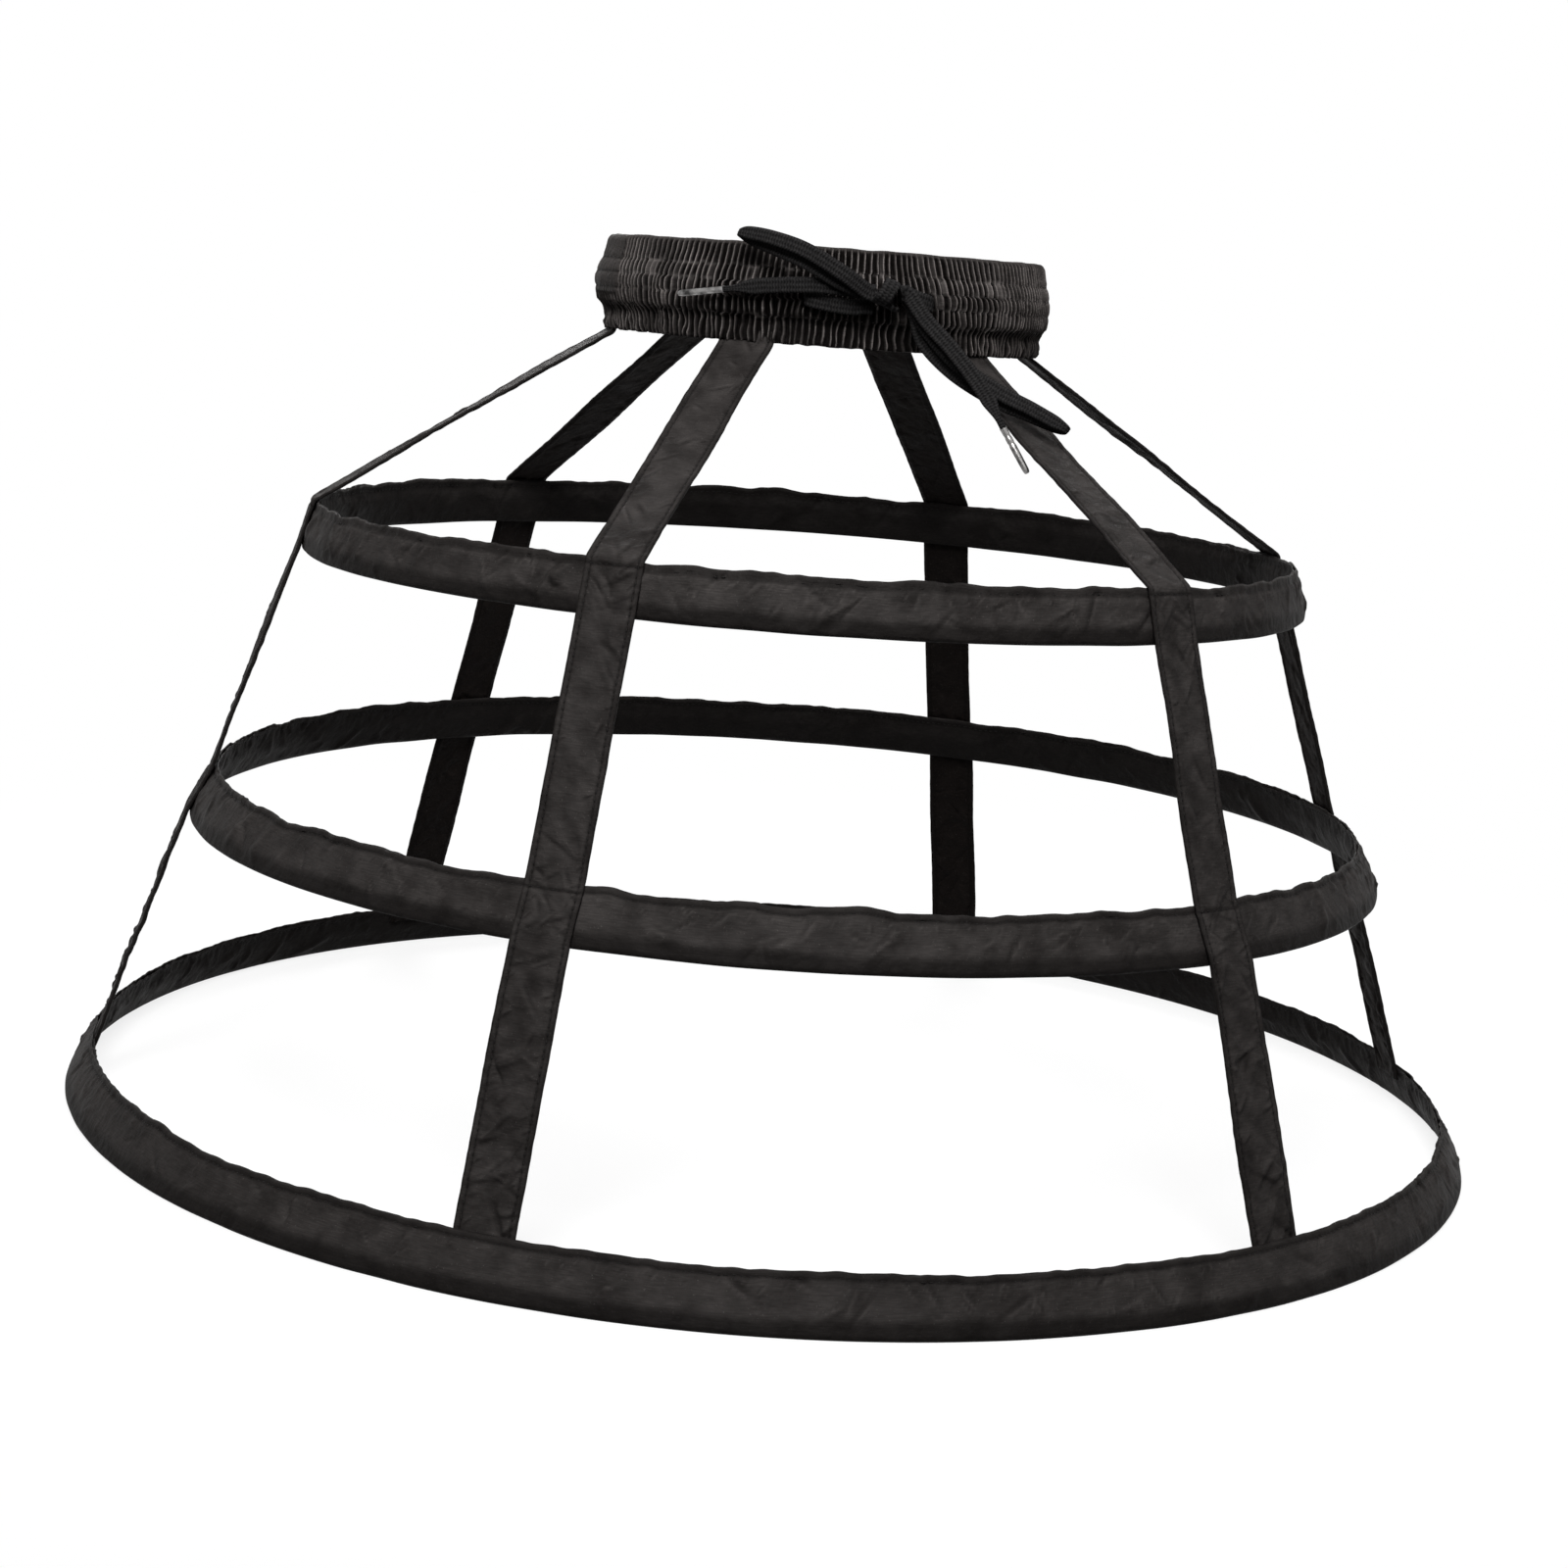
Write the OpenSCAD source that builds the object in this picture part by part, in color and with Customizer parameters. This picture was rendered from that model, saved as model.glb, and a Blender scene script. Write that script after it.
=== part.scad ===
// Crinoline cage: a gathered elastic waistband with a drawstring bow, six tapes and three cased hoops.
// Millimetres. The origin is on the floor at the middle of the lower hoop, +Z up, and the bow faces -Y.

/* [Hoops] */
// Outer radius of the lower hoop
lower_hoop_r = 320; // [280:1:420]
// Outer radius of the middle hoop
middle_hoop_r = 270; // [240:1:275]
// Outer radius of the upper hoop
upper_hoop_r = 226; // [180:1:235]
// Height of the middle hoop above the floor
middle_hoop_z = 123; // [100:1:150]
// Height of the upper hoop above the floor
upper_hoop_z = 243; // [220:1:270]
// Inward lean of the lower hoop, in degrees
lower_lean = 30; // [20:1:35]
// Inward lean of the middle hoop, in degrees
middle_lean = 28; // [18:1:32]
// Inward lean of the upper hoop, in degrees
upper_lean = 16; // [5:1:25]

/* [Hoop casings] */
// Width of the upper hoop's casing along its lean
upper_casing_w = 22.5; // [21:0.5:30]
// Width of the middle hoop's casing along its lean
middle_casing_w = 24.5; // [21:0.5:30]
// Width of the lower hoop's casing along its lean
lower_casing_w = 24.5; // [21:0.5:30]
// Thickness of a casing where it holds its bone
casing_t = 4; // [3.8:0.1:5]
// Thickness of a casing at its stitched top edge
casing_edge_t = 1.8; // [1:0.1:2.2]
// Wall of a casing round its bone
casing_wall = 0.6; // [0.4:0.1:0.7]

/* [Hoop bones] */
// Width of a flat hoop bone
bone_w = 12; // [8:0.5:13]
// Thickness of a flat hoop bone
bone_t = 1.2; // [0.8:0.1:1.4]
// Length of the sleeve that joins the two ends of a bone
joiner_len = 40; // [25:1:60]
// Wall of that sleeve
joiner_wall = 0.4; // [0.3:0.05:0.5]

/* [Tapes] */
// Width of a tape
tape_w = 24.5; // [15:0.5:30]
// Thickness of a tape, two plies of cloth
tape_t = 1.2; // [0.8:0.1:1.6]
// Number of tapes round the cage
tape_count = 6; // [6:1:6]
// Length of tape that is sewn in behind the lower hoop's casing
tape_tuck = 6; // [4:0.5:7]

/* [Waistband] */
// Outer radius of the waistband over its gathers, relaxed
waist_r = 100; // [90:1:120]
// Height of the waistband
waist_h = 41; // [36:0.5:50]
// Height of the waistband's lower edge above the floor
waist_z = 348; // [330:1:380]
// Number of gathers round the waistband
gather_count = 120; // [60:1:180]
// Depth of a gather
gather_depth = 1.8; // [1:0.1:2]
// Wall of the waistband's cloth
band_wall = 0.8; // [0.6:0.1:1]
// How far the gathers are drawn in at each row of stitches
stitch_pinch = 1; // [0.5:0.1:1.2]
// How far the lower frill steps in from the band above it
frill_step = 2.5; // [1:0.1:2.5]
// Depth of the hem that the tapes are tucked into
hem_h = 5; // [4:0.5:7]
// Thickness of the elastic
elastic_t = 1.5; // [1:0.1:2]
// Width of the plain seam patch round the band
patch_w = 34; // [20:1:50]
// Place of that patch round the band, in degrees from the front
patch_turn = -82; // [-120:1:-60]

/* [Drawstring] */
// Width of the flat braid
cord_w = 6.5; // [5.5:0.5:8]
// Thickness of the flat braid
cord_t = 2; // [1.5:0.1:2]
// Height of the buttonholes' middle above the waistband's lower edge
buttonhole_z = 20; // [18:0.5:22]
// Place of each buttonhole, in degrees from the front
buttonhole_turn = 15; // [14:0.5:16]
// Diameter of the metal aglets
aglet_d = 3.2; // [2.8:0.1:4.5]
// Length of the metal aglets
aglet_len = 21; // [15:1:25]
// Diameter of the bow's knot
knot_d = 13; // [12:0.5:13]

/* [Hidden] */
$fn = 96;
// Steps along the round edges of a section
arc_steps = 8;

cloth_colour = "#2c2928";
elastic_colour = "#e8e4dc";
cord_colour = "#1b1b1b";
metal_colour = "#c9cbce";
bone_colour = "#f2f2ee";

// Overrun of a cut past the face that it opens
cut_over = 1;
// Play between cloth and what lies against it
cloth_gap = 0.2;
// Play round the elastic and the cord inside the waistband
band_gap = 0.3;
// Play between a bone and its sleeve, and between the sleeve and the casing
bone_gap = 0.1;
// Depth of the lower hoop's edge that is pressed flat on the floor
floor_flat = 0.3;
// Gap between the two ends of a bone inside its sleeve
bone_end_gap = 1;
// Drop of a tape below the hem before it turns outwards
tape_drop = 0.6;
// Play round the cord in a buttonhole
buttonhole_gap = 0.5;
// Depth of the bevel along each row of stitches
row_bevel = 1.5;
// Height that the seam patch stands over the gathers
patch_rise = 0.3;
// Rounding of the aglets' tips and the knot's ends
aglet_round = 0.8;
knot_round = 2;

// Rows of stitches, as shares of the band's height above the frill
row_shares = [0, 0.24, 0.48, 0.68, 1];
// Height of the frill as a share of the band's height
frill_share = 0.28;
// Parts of one gather's turn that its flat top and its valley take
crest_share = 0.42;
valley_share = 0.18;
// Sideways wander of the gathers, as a share of their pitch, and the turn that spreads it
wander_share = 0.15;
wander_turn = 137;
// How much wider than a tape its revolved blank is
blank_share = 1.3;
// Outline of the flat braid, as shares of half its width and half its thickness
braid_shares = [
    [1, 0.45], [0.85, 1], [-0.85, 1], [-1, 0.45],
    [-1, -0.45], [-0.85, -1], [0.85, -1], [1, -0.45]
];
// Width of the braid at the end that an aglet grips
tip_share = aglet_d / cord_w;

// Waistband radii, from the outside in
valley_r = waist_r - gather_depth;
channel_r = valley_r - band_wall;
run_r = channel_r - band_gap;
elastic_room_r = run_r - cord_t;
elastic_r = elastic_room_r - band_gap;
lining_r = elastic_r - elastic_t - band_gap;
waist_bore_r = lining_r - band_wall;
waist_top = waist_z + waist_h;
hem_top = waist_z + hem_h;
elastic_floor = hem_top + band_wall;
elastic_roof = waist_top - band_wall;
frill_top = waist_z + frill_share * waist_h;
cord_z = waist_z + buttonhole_z;
channel_h = cord_w + 2 * buttonhole_gap;

// Casing section, in its own frame: the middle of the lower rounding is its origin, x outwards, y up the lean
casing_r = casing_t / 2;
edge_r = casing_edge_t / 2;
pocket_r = casing_r - casing_wall;
joiner_t = bone_t + 2 * (joiner_wall + bone_gap);
joiner_w = bone_w + 2 * (joiner_wall + bone_gap);
joiner_y = -sqrt(pow(pocket_r - bone_gap, 2) - pow(joiner_t / 2, 2));
bone_y = joiner_y + joiner_wall + bone_gap;
shoulder_y = joiner_y + joiner_w + bone_gap + casing_wall;

// Each hoop: outer radius, height of its lowest point, lean and casing width
upper = [upper_hoop_r, upper_hoop_z, upper_lean, upper_casing_w];
middle = [middle_hoop_r, middle_hoop_z, middle_lean, middle_casing_w];
lower = [lower_hoop_r, -floor_flat, lower_lean, lower_casing_w];

// Drawstring routes, each stretch as it leaves the buttonhole or the knot
knot_at = [6, -107, 372];
knot_len = 10;
lead_left = [[-25.2, -94, 368], [-26.3, -98, 368], [-26, -100.5, 367.6], [-23.5, -102, 367],
    [-16, -103, 365.8], [-7, -103.25, 365.3], [-3, -103.25, 366], [1, -103.25, 366]];
lead_right = [[25.2, -94, 368], [26.3, -98, 368], [26, -100.5, 368.5], [23.5, -102, 369.5],
    [18, -103, 371], [14.5, -103.25, 372], [11, -103.25, 372]];
loop_left = [[1, -108.25, 372], [-3, -108.25, 372], [-14.4, -108.75, 375.2], [-29.7, -107, 382.6],
    [-43.5, -98.5, 387.6], [-50.5, -93, 390.2], [-53.6, -91.3, 391.8], [-54.4, -93.5, 392.2],
    [-52, -97, 392.4], [-43.3, -104, 391], [-30.3, -111, 386.9], [-14.6, -113, 378.8],
    [-3, -110.75, 372], [1, -110.75, 372]];
loop_right = [[11, -105.75, 372], [14, -105.75, 372], [18.5, -106.1, 364], [23, -106.5, 353],
    [35.5, -109.5, 341.5], [52, -117, 332], [65, -123.5, 327], [75, -127, 323.3], [79.5, -129, 321.8],
    [78.5, -131.5, 323], [66, -128, 329.2], [52.5, -121.5, 335.3], [36, -113.5, 345.5],
    [23.5, -109.3, 358], [18, -108.4, 367], [14, -108.25, 372], [11, -108.25, 372]];
tail_left = [[1, -105.75, 372], [-3, -105.75, 372], [-14, -105.75, 373], [-28, -104.5, 373],
    [-45, -95.5, 371.3], [-59, -86.5, 368.8]];
tail_right = [[11, -110.75, 372], [14, -110.75, 372], [21.9, -113.2, 361.8], [33.5, -118, 350],
    [45.8, -123.5, 334.8], [54, -128.5, 320.8]];
// Direction of the braid's width along each stretch
upright = [0, 0, 1];
loop_left_width = [0.35, 0, 0.94];
loop_right_width = [0.6, 0.1, 0.79];
tail_right_width = [0.75, 0, 0.66];

// Directions and outlines
function unit(v) = v / norm(v);
function polar(r, a) = [r * cos(a), r * sin(a)];
function arc(at, r, from, to) = [for (k = [0:arc_steps]) at + polar(r, from + (to - from) * k / arc_steps)];
function left_of(d) = [-d[1], d[0]];
function hoop_up(h) = [-sin(h[2]), cos(h[2])];
function hoop_out(h) = [cos(h[2]), sin(h[2])];
function hoop_foot(h) = [h[0] - casing_r, h[1] + casing_r];
function edge_at(h) = [casing_r - edge_r, h[3] - casing_r - edge_r];
function on_hoop(h, p) = hoop_foot(h) + p[0] * hoop_out(h) + p[1] * hoop_up(h);
// Corner where two lines that pass a round edge at the same distance meet
function corner(at, n1, n2, distance) = at + distance * (n1 + n2) / (1 + n1 * n2);

// Middle line of a tape in the plane of the axis: out of the hem, over two hoops and in behind the third
tape_r = elastic_room_r - cloth_gap - tape_t / 2;
hem_point = [tape_r, waist_z - tape_drop];
seat = cloth_gap + tape_t / 2;
upper_edge = on_hoop(upper, edge_at(upper));
middle_edge = on_hoop(middle, edge_at(middle));
slope_1 = left_of(unit(upper_edge - hem_point));
slope_2 = left_of(unit(middle_edge - hoop_foot(upper)));
inner_top = edge_at(lower) - [edge_r, 0];
taper_down = unit([-casing_r, shoulder_y] - inner_top);
tuck_point = inner_top - seat * left_of(taper_down);
tuck_end = tuck_point + tape_tuck * taper_down;
slope_3 = left_of(unit(on_hoop(lower, tuck_point) - hoop_foot(middle)));
tape_line = [
    [tape_r, hem_top - cloth_gap],
    hem_point,
    corner(upper_edge, slope_1, hoop_out(upper), edge_r + seat),
    corner(hoop_foot(upper), hoop_out(upper), slope_2, casing_r + seat),
    corner(middle_edge, slope_2, hoop_out(middle), edge_r + seat),
    corner(hoop_foot(middle), hoop_out(middle), slope_3, casing_r + seat),
    on_hoop(lower, tuck_point),
    on_hoop(lower, tuck_end)
];

function step_left(p, i) = left_of(unit(p[i + 1] - p[i]));
function beside(p, i, distance) =
    i == 0 ? p[i] + distance * step_left(p, i)
    : i == len(p) - 1 ? p[i] + distance * step_left(p, i - 1)
    : corner(p[i], step_left(p, i - 1), step_left(p, i), distance);

// Flat braid swept along a route as one solid
function heading(p, i) = unit(p[min(i + 1, len(p) - 1)] - p[max(i - 1, 0)]);
function braid_ring(p, i, width, share) =
    let (t = heading(p, i), s = unit(width - (width * t) * t), n = cross(t, s))
        [for (q = braid_shares) p[i] + s * q[0] * share * cord_w / 2 + n * q[1] * cord_t / 2];

module braid(p, width, end_share = 1) {
    sides = len(braid_shares);
    last = len(p) - 1;
    points = [for (i = [0:last]) each braid_ring(p, i, width, i == last ? end_share : 1)];
    walls = [
        for (i = [0:last - 1])
            for (k = [0:sides - 1])
                let (a = i * sides + k, b = i * sides + (k + 1) % sides)
                    each [[a, a + sides, b + sides], [a, b + sides, b]]
    ];
    caps = [[for (k = [0:sides - 1]) k], [for (k = [0:sides - 1]) last * sides + sides - 1 - k]];
    polyhedron(points = points, faces = concat(walls, caps));
}

// Turns a shape that points along +Z to lie along a direction from a point
module along(at, direction) {
    translate(at)
        rotate([0, acos(direction[2] / norm(direction)), atan2(direction[1], direction[0])])
            children();
}

module rounded_bar(d, length, edge) {
    at = d / 2 - edge;
    rotate_extrude()
        polygon(concat(
            [[0, 0]],
            arc([at, edge], edge, -90, 0),
            arc([at, length - edge], edge, 0, 90),
            [[0, length]]
        ));
}

module aglet(route) {
    last = len(route) - 1;
    color(metal_colour)
        along(route[last], route[last] - route[last - 1])
            rounded_bar(aglet_d, aglet_len, aglet_round);
}

// Gathered cloth between two heights: ribs all round, drawn in at each row of stitches
module gather_outline(r) {
    pitch = 360 / gather_count;
    polygon([
        for (i = [0:gather_count - 1])
            let (a = pitch * (i + wander_share * sin(i * wander_turn)), middle_a = a + pitch / 2)
                each [
                    polar(r - gather_depth, a - pitch * valley_share / 2),
                    polar(r - gather_depth, a + pitch * valley_share / 2),
                    polar(r + cut_over, middle_a - pitch * crest_share / 2),
                    polar(r + cut_over, middle_a + pitch * crest_share / 2)
                ]
    ]);
}

module gathered_ring(r, rows) {
    low = rows[0];
    high = rows[len(rows) - 1];
    intersection() {
        translate([0, 0, low - cut_over])
            linear_extrude(high - low + 2 * cut_over)
                gather_outline(r);
        rotate_extrude()
            polygon([
                [0, low],
                for (k = [0:len(rows) - 2])
                    each [
                        [r - stitch_pinch, rows[k]],
                        [r, rows[k] + row_bevel],
                        [r, rows[k + 1] - row_bevel],
                        [r - stitch_pinch, rows[k + 1]]
                    ],
                [0, high]
            ]);
    }
}

module ring_room(r1, r2, z1, z2) {
    rotate_extrude()
        translate([r1, z1])
            square([r2 - r1, z2 - z1]);
}

module seam_patch() {
    sweep = patch_w / waist_r * 180 / PI;
    rotate([0, 0, patch_turn - 90 - sweep / 2])
        rotate_extrude(angle = sweep)
            polygon([
                [channel_r, cord_z - channel_h / 2],
                [waist_r + patch_rise - stitch_pinch, cord_z - channel_h / 2],
                [waist_r + patch_rise, cord_z - channel_h / 2 + row_bevel],
                [waist_r + patch_rise, waist_top - row_bevel],
                [waist_r + patch_rise - stitch_pinch, waist_top],
                [channel_r, waist_top]
            ]);
}

module buttonhole() {
    rotate([90, 0, 0])
        translate([0, cord_z, elastic_room_r])
            linear_extrude(waist_r - elastic_room_r + cut_over)
                square([cord_t + 2 * buttonhole_gap, channel_h], center = true);
}

module waistband_casing() {
    color(cloth_colour)
        difference() {
            union() {
                gathered_ring(waist_r, [for (s = row_shares) frill_top + s * (waist_top - frill_top)]);
                gathered_ring(waist_r - frill_step, [waist_z, frill_top]);
                seam_patch();
            }
            translate([0, 0, waist_z - cut_over])
                cylinder(r = waist_bore_r, h = waist_h + 2 * cut_over);
            // Room for the elastic, the drawstring's channel and the hem that is open below
            ring_room(lining_r, elastic_room_r, elastic_floor, elastic_roof);
            ring_room(lining_r, channel_r, cord_z - channel_h / 2, cord_z + channel_h / 2);
            ring_room(waist_bore_r - cut_over, elastic_room_r, waist_z - cut_over, hem_top);
            for (side = [-1, 1])
                rotate([0, 0, side * buttonhole_turn])
                    buttonhole();
        }
}

module waist_elastic() {
    color(elastic_colour)
        ring_room(elastic_r - elastic_t, elastic_r, elastic_floor + band_gap, elastic_roof - band_gap);
}

// The part of the drawstring that lies in the channel, from one buttonhole round the back to the other
module drawstring_run() {
    open_turn = buttonhole_turn - cord_t / run_r * 180 / PI;
    color(cord_colour)
        rotate([0, 0, open_turn - 90])
            rotate_extrude(angle = 360 - 2 * open_turn)
                translate([run_r - cord_t, cord_z - cord_w / 2])
                    square([cord_t, cord_w]);
}

module drawstring_left() {
    color(cord_colour) {
        braid(lead_left, upright);
        braid(loop_left, loop_left_width);
        braid(tail_left, upright, tip_share);
    }
}

module drawstring_right() {
    color(cord_colour) {
        braid(lead_right, upright);
        braid(loop_right, loop_right_width);
        braid(tail_right, tail_right_width, tip_share);
    }
}

module bow_knot() {
    color(cord_colour)
        translate(knot_at - [knot_len / 2, 0, 0])
            rotate([0, 90, 0])
                rounded_bar(knot_d, knot_len, knot_round);
}

module aglet_left() {
    aglet(tail_left);
}

module aglet_right() {
    aglet(tail_right);
}

// Hoop casing: a sleeve with its bone in the lower part and a thin stitched edge above
module casing_section(h) {
    difference() {
        polygon(concat(
            arc([0, 0], casing_r, -180, 0),
            arc(edge_at(h), edge_r, 0, 180),
            [[-casing_r, shoulder_y]]
        ));
        polygon(concat(
            arc([0, 0], pocket_r, -180, 0),
            [[pocket_r, shoulder_y - casing_wall], [-pocket_r, shoulder_y - casing_wall]]
        ));
    }
}

module at_hoop(h) {
    translate(hoop_foot(h))
        rotate(h[2])
            children();
}

module hoop_casing(h) {
    color(cloth_colour)
        rotate_extrude()
            intersection() {
                at_hoop(h)
                    casing_section(h);
                square([h[0] + cut_over, waist_z]);
            }
}

// Flat bone, open by a small gap at the back, inside its sleeve
module hoop_bone(h) {
    gap_turn = bone_end_gap / h[0] * 180 / PI;
    color(bone_colour)
        rotate([0, 0, 90 + gap_turn / 2])
            rotate_extrude(angle = 360 - gap_turn)
                at_hoop(h)
                    translate([-bone_t / 2, bone_y])
                        square([bone_t, bone_w]);
}

module bone_joiner(h) {
    sweep = joiner_len / h[0] * 180 / PI;
    color(metal_colour)
        rotate([0, 0, 90 - sweep / 2])
            rotate_extrude(angle = sweep)
                at_hoop(h)
                    difference() {
                        translate([-joiner_t / 2, joiner_y])
                            square([joiner_t, joiner_w]);
                        translate([-bone_t / 2 - bone_gap, bone_y - bone_gap])
                            square([bone_t + 2 * bone_gap, bone_w + 2 * bone_gap]);
                    }
}

// One tape, cut to its width from a blank revolved round the cage, counted from the front left
module tape(number) {
    blank = blank_share * 2 * asin(tape_w / 2 / tape_r);
    last = len(tape_line) - 1;
    color(cloth_colour)
        rotate([0, 0, (number - 1 / 2) * 360 / tape_count])
            intersection() {
                rotate([0, 0, -90 - blank / 2])
                    rotate_extrude(angle = blank)
                        polygon(concat(
                            [for (i = [0:last]) beside(tape_line, i, tape_t / 2)],
                            [for (i = [last:-1:0]) beside(tape_line, i, -tape_t / 2)]
                        ));
                translate([-tape_w / 2, -lower_hoop_r, 0])
                    cube([tape_w, lower_hoop_r, waist_top]);
            }
}

waistband_casing();
waist_elastic();
drawstring_run();
drawstring_left();
drawstring_right();
bow_knot();
aglet_left();
aglet_right();
hoop_casing(upper);  // hoop_casing_upper
hoop_casing(middle);  // hoop_casing_middle
hoop_casing(lower);  // hoop_casing_lower
hoop_bone(upper);  // hoop_bone_upper
hoop_bone(middle);  // hoop_bone_middle
hoop_bone(lower);  // hoop_bone_lower
bone_joiner(upper);  // bone_joiner_upper
bone_joiner(middle);  // bone_joiner_middle
bone_joiner(lower);  // bone_joiner_lower
tape(0);  // tape_front_left
tape(1);  // tape_front_right
tape(2);  // tape_side_right
tape(3);  // tape_back_right
tape(4);  // tape_back_left
tape(5);  // tape_side_left
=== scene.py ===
import math
import random

import bmesh
import bpy
from mathutils import Matrix, Vector, noise


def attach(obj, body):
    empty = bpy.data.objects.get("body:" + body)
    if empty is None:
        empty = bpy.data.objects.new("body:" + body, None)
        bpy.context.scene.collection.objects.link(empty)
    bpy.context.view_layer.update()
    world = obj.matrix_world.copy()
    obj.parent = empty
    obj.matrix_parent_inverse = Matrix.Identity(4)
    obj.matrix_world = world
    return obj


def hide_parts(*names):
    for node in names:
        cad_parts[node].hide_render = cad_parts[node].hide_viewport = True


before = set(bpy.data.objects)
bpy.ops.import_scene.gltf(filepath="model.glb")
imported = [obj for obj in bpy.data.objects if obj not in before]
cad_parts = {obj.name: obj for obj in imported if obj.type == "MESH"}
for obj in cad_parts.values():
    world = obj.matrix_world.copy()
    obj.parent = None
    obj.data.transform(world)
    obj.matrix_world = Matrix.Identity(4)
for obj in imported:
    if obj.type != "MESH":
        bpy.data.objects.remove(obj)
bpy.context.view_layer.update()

MM = 0.001
TURN = 2 * math.pi
UP = Vector((0, 0, 1))
scene = bpy.context.scene
scene.view_settings.view_transform = "Standard"

# Sizes in millimetres, as the part's source has them
CASING_R = 2.0
EDGE_R = 0.9
SHOULDER_A = 12.7
HOOPS = {
    "upper": {"r": 226.0, "z": 243.0, "lean": math.radians(16), "width": 22.5, "seed": 3, "loose": 1.0},
    "middle": {"r": 270.0, "z": 123.0, "lean": math.radians(28), "width": 24.5, "seed": 5, "loose": 1.0},
    "lower": {"r": 320.0, "z": -0.3, "lean": math.radians(30), "width": 24.5, "seed": 8, "loose": 0.3},
}
TAPE_W = 24.5
TAPE_T = 1.2
TAPE_SEAT = 0.8
TAPE_TUCK = 6.0
TAPES = {
    "tape_front_left": -30, "tape_front_right": 30, "tape_side_right": 90,
    "tape_back_right": 150, "tape_back_left": -150, "tape_side_left": -90,
}
WAIST_R = 100.0
WAIST_LOW = 348.0
WAIST_TOP = 389.0
HEM_TOP = 353.0
HEM_R = 94.3
CORD_W = 6.5
CORD_T = 2.0
BUTTONHOLE_Z = 368.0
BUTTONHOLE_TURN = math.radians(15)


# Small helpers

def ripple(seed, x, y=0.0):
    """Smooth noise from -1 to 1."""
    return noise.noise(Vector((x, y, seed * 7.31)))


def ring_ripple(seed, angle, swells, y=0.0):
    """Smooth noise that closes after a full turn, with about that many swells round it."""
    reach = swells / TURN
    return noise.noise(Vector((reach * math.cos(angle) + seed * 7.31, reach * math.sin(angle), y)))


def bell(distance, width):
    """One at no distance, falling smoothly away over the width."""
    return math.exp(-(distance / width) ** 2)


def ease(low, high, x):
    """Zero below low, one above high, smooth between."""
    t = min(1.0, max(0.0, (x - low) / (high - low)))
    return t * t * (3 - 2 * t)


def facing(angle):
    """Outward and sideways directions at an angle from the front."""
    out = Vector((math.sin(angle), -math.cos(angle), 0))
    return out, Vector((math.cos(angle), math.sin(angle), 0))


CURVE_STEPS = 12


def smooth_line(points, step):
    """Evenly spaced points on a smooth curve through the given ones."""
    fine = []
    last = len(points) - 1
    for i in range(last):
        a = points[max(i - 1, 0)]
        b = points[i]
        c = points[i + 1]
        d = points[min(i + 2, last)]
        for k in range(CURVE_STEPS):
            t = k / CURVE_STEPS
            fine.append(
                0.5 * (2 * b + (c - a) * t + (2 * a - 5 * b + 4 * c - d) * t ** 2
                       + (3 * b - a - 3 * c + d) * t ** 3)
            )
    fine.append(points[last])
    return spaced(fine, step)


def distances(line):
    """How far along a line each of its points is."""
    runs = [0.0]
    for a, b in zip(line, line[1:]):
        runs.append(runs[-1] + (b - a).length)
    return runs


def spaced(line, step):
    """The same line with points about a step apart."""
    runs = distances(line)
    count = max(2, round(runs[-1] / step))
    out = []
    at = 0
    for k in range(count + 1):
        want = runs[-1] * k / count
        while at < len(line) - 2 and runs[at + 1] < want:
            at += 1
        share = (want - runs[at]) / max(runs[at + 1] - runs[at], 1e-12)
        out.append(line[at].lerp(line[at + 1], share))
    return out


def finished_mesh(bm, name):
    mesh = bpy.data.meshes.new(name)
    bm.to_mesh(mesh)
    bm.free()
    return mesh


def in_scene(name, data):
    """An object with this data, put into the scene."""
    item = bpy.data.objects.new(name, data)
    scene.collection.objects.link(item)
    return item


def keep_piece(bm, name, material, nodes=()):
    """Turns a bmesh into a piece of the object."""
    mesh = finished_mesh(bm, name)
    mesh.shade_smooth()
    mesh.materials.append(material)
    piece = in_scene(name, mesh)
    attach(piece, "root")
    if nodes:
        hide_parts(*nodes)
    return piece


# Materials, with their measures in metres

WHITE = (1, 1, 1, 1)
# SHADED is the near black that painted shade blends the cloth towards.
SHADED = (0.0034, 0.0028, 0.0026, 1)
LINT = (0.13, 0.12, 0.115, 1)
# How much paler than the cloth's pale colour the painted highlight on a ridge is.
RIDGE_HIGHLIGHT = 2.3
THREAD_PITCH = 0.00048
SLUBS_PER_METRE = (160, 1900, 1)
PLAIT_PITCH = 0.00125
CLOTH_GLOSS = 0.025
THREAD_GLOSS = 0.05


def new_material(name):
    material = bpy.data.materials.new(name)
    material.use_nodes = True
    tree = material.node_tree
    return material, tree, tree.nodes["Principled BSDF"]


def feed(tree, node, inputs):
    """Sets a node's inputs, each to a value or to the socket that feeds it."""
    for name, value in inputs.items():
        socket = node.inputs[name]
        if isinstance(value, bpy.types.NodeSocket):
            tree.links.new(value, socket)
        else:
            socket.default_value = value


def add(tree, kind, inputs=None, **settings):
    node = tree.nodes.new("ShaderNode" + kind)
    for name, value in settings.items():
        setattr(node, name, value)
    feed(tree, node, inputs or {})
    return node


def math_node(tree, operation, a, b=0.0):
    return add(tree, "Math", {0: a, 1: b}, operation=operation).outputs[0]


def product(tree, a, b):
    return math_node(tree, "MULTIPLY", a, b)


def blend_colours(tree, share, low, high):
    return add(tree, "Mix", {0: share, 6: low, 7: high}, data_type="RGBA").outputs[2]


def spread(tree, value, low, high, start=0.3, end=0.7):
    """Maps noise, which is mostly about its middle, to a range."""
    return add(tree, "MapRange", {
        "Value": value, "From Min": start, "From Max": end, "To Min": low, "To Max": high,
    }).outputs[0]


def noise_of(tree, coords, scale, detail=3.0):
    node = add(tree, "TexNoise", {"Vector": coords, "Scale": scale, "Detail": detail})
    return node.outputs["Fac"]


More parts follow.
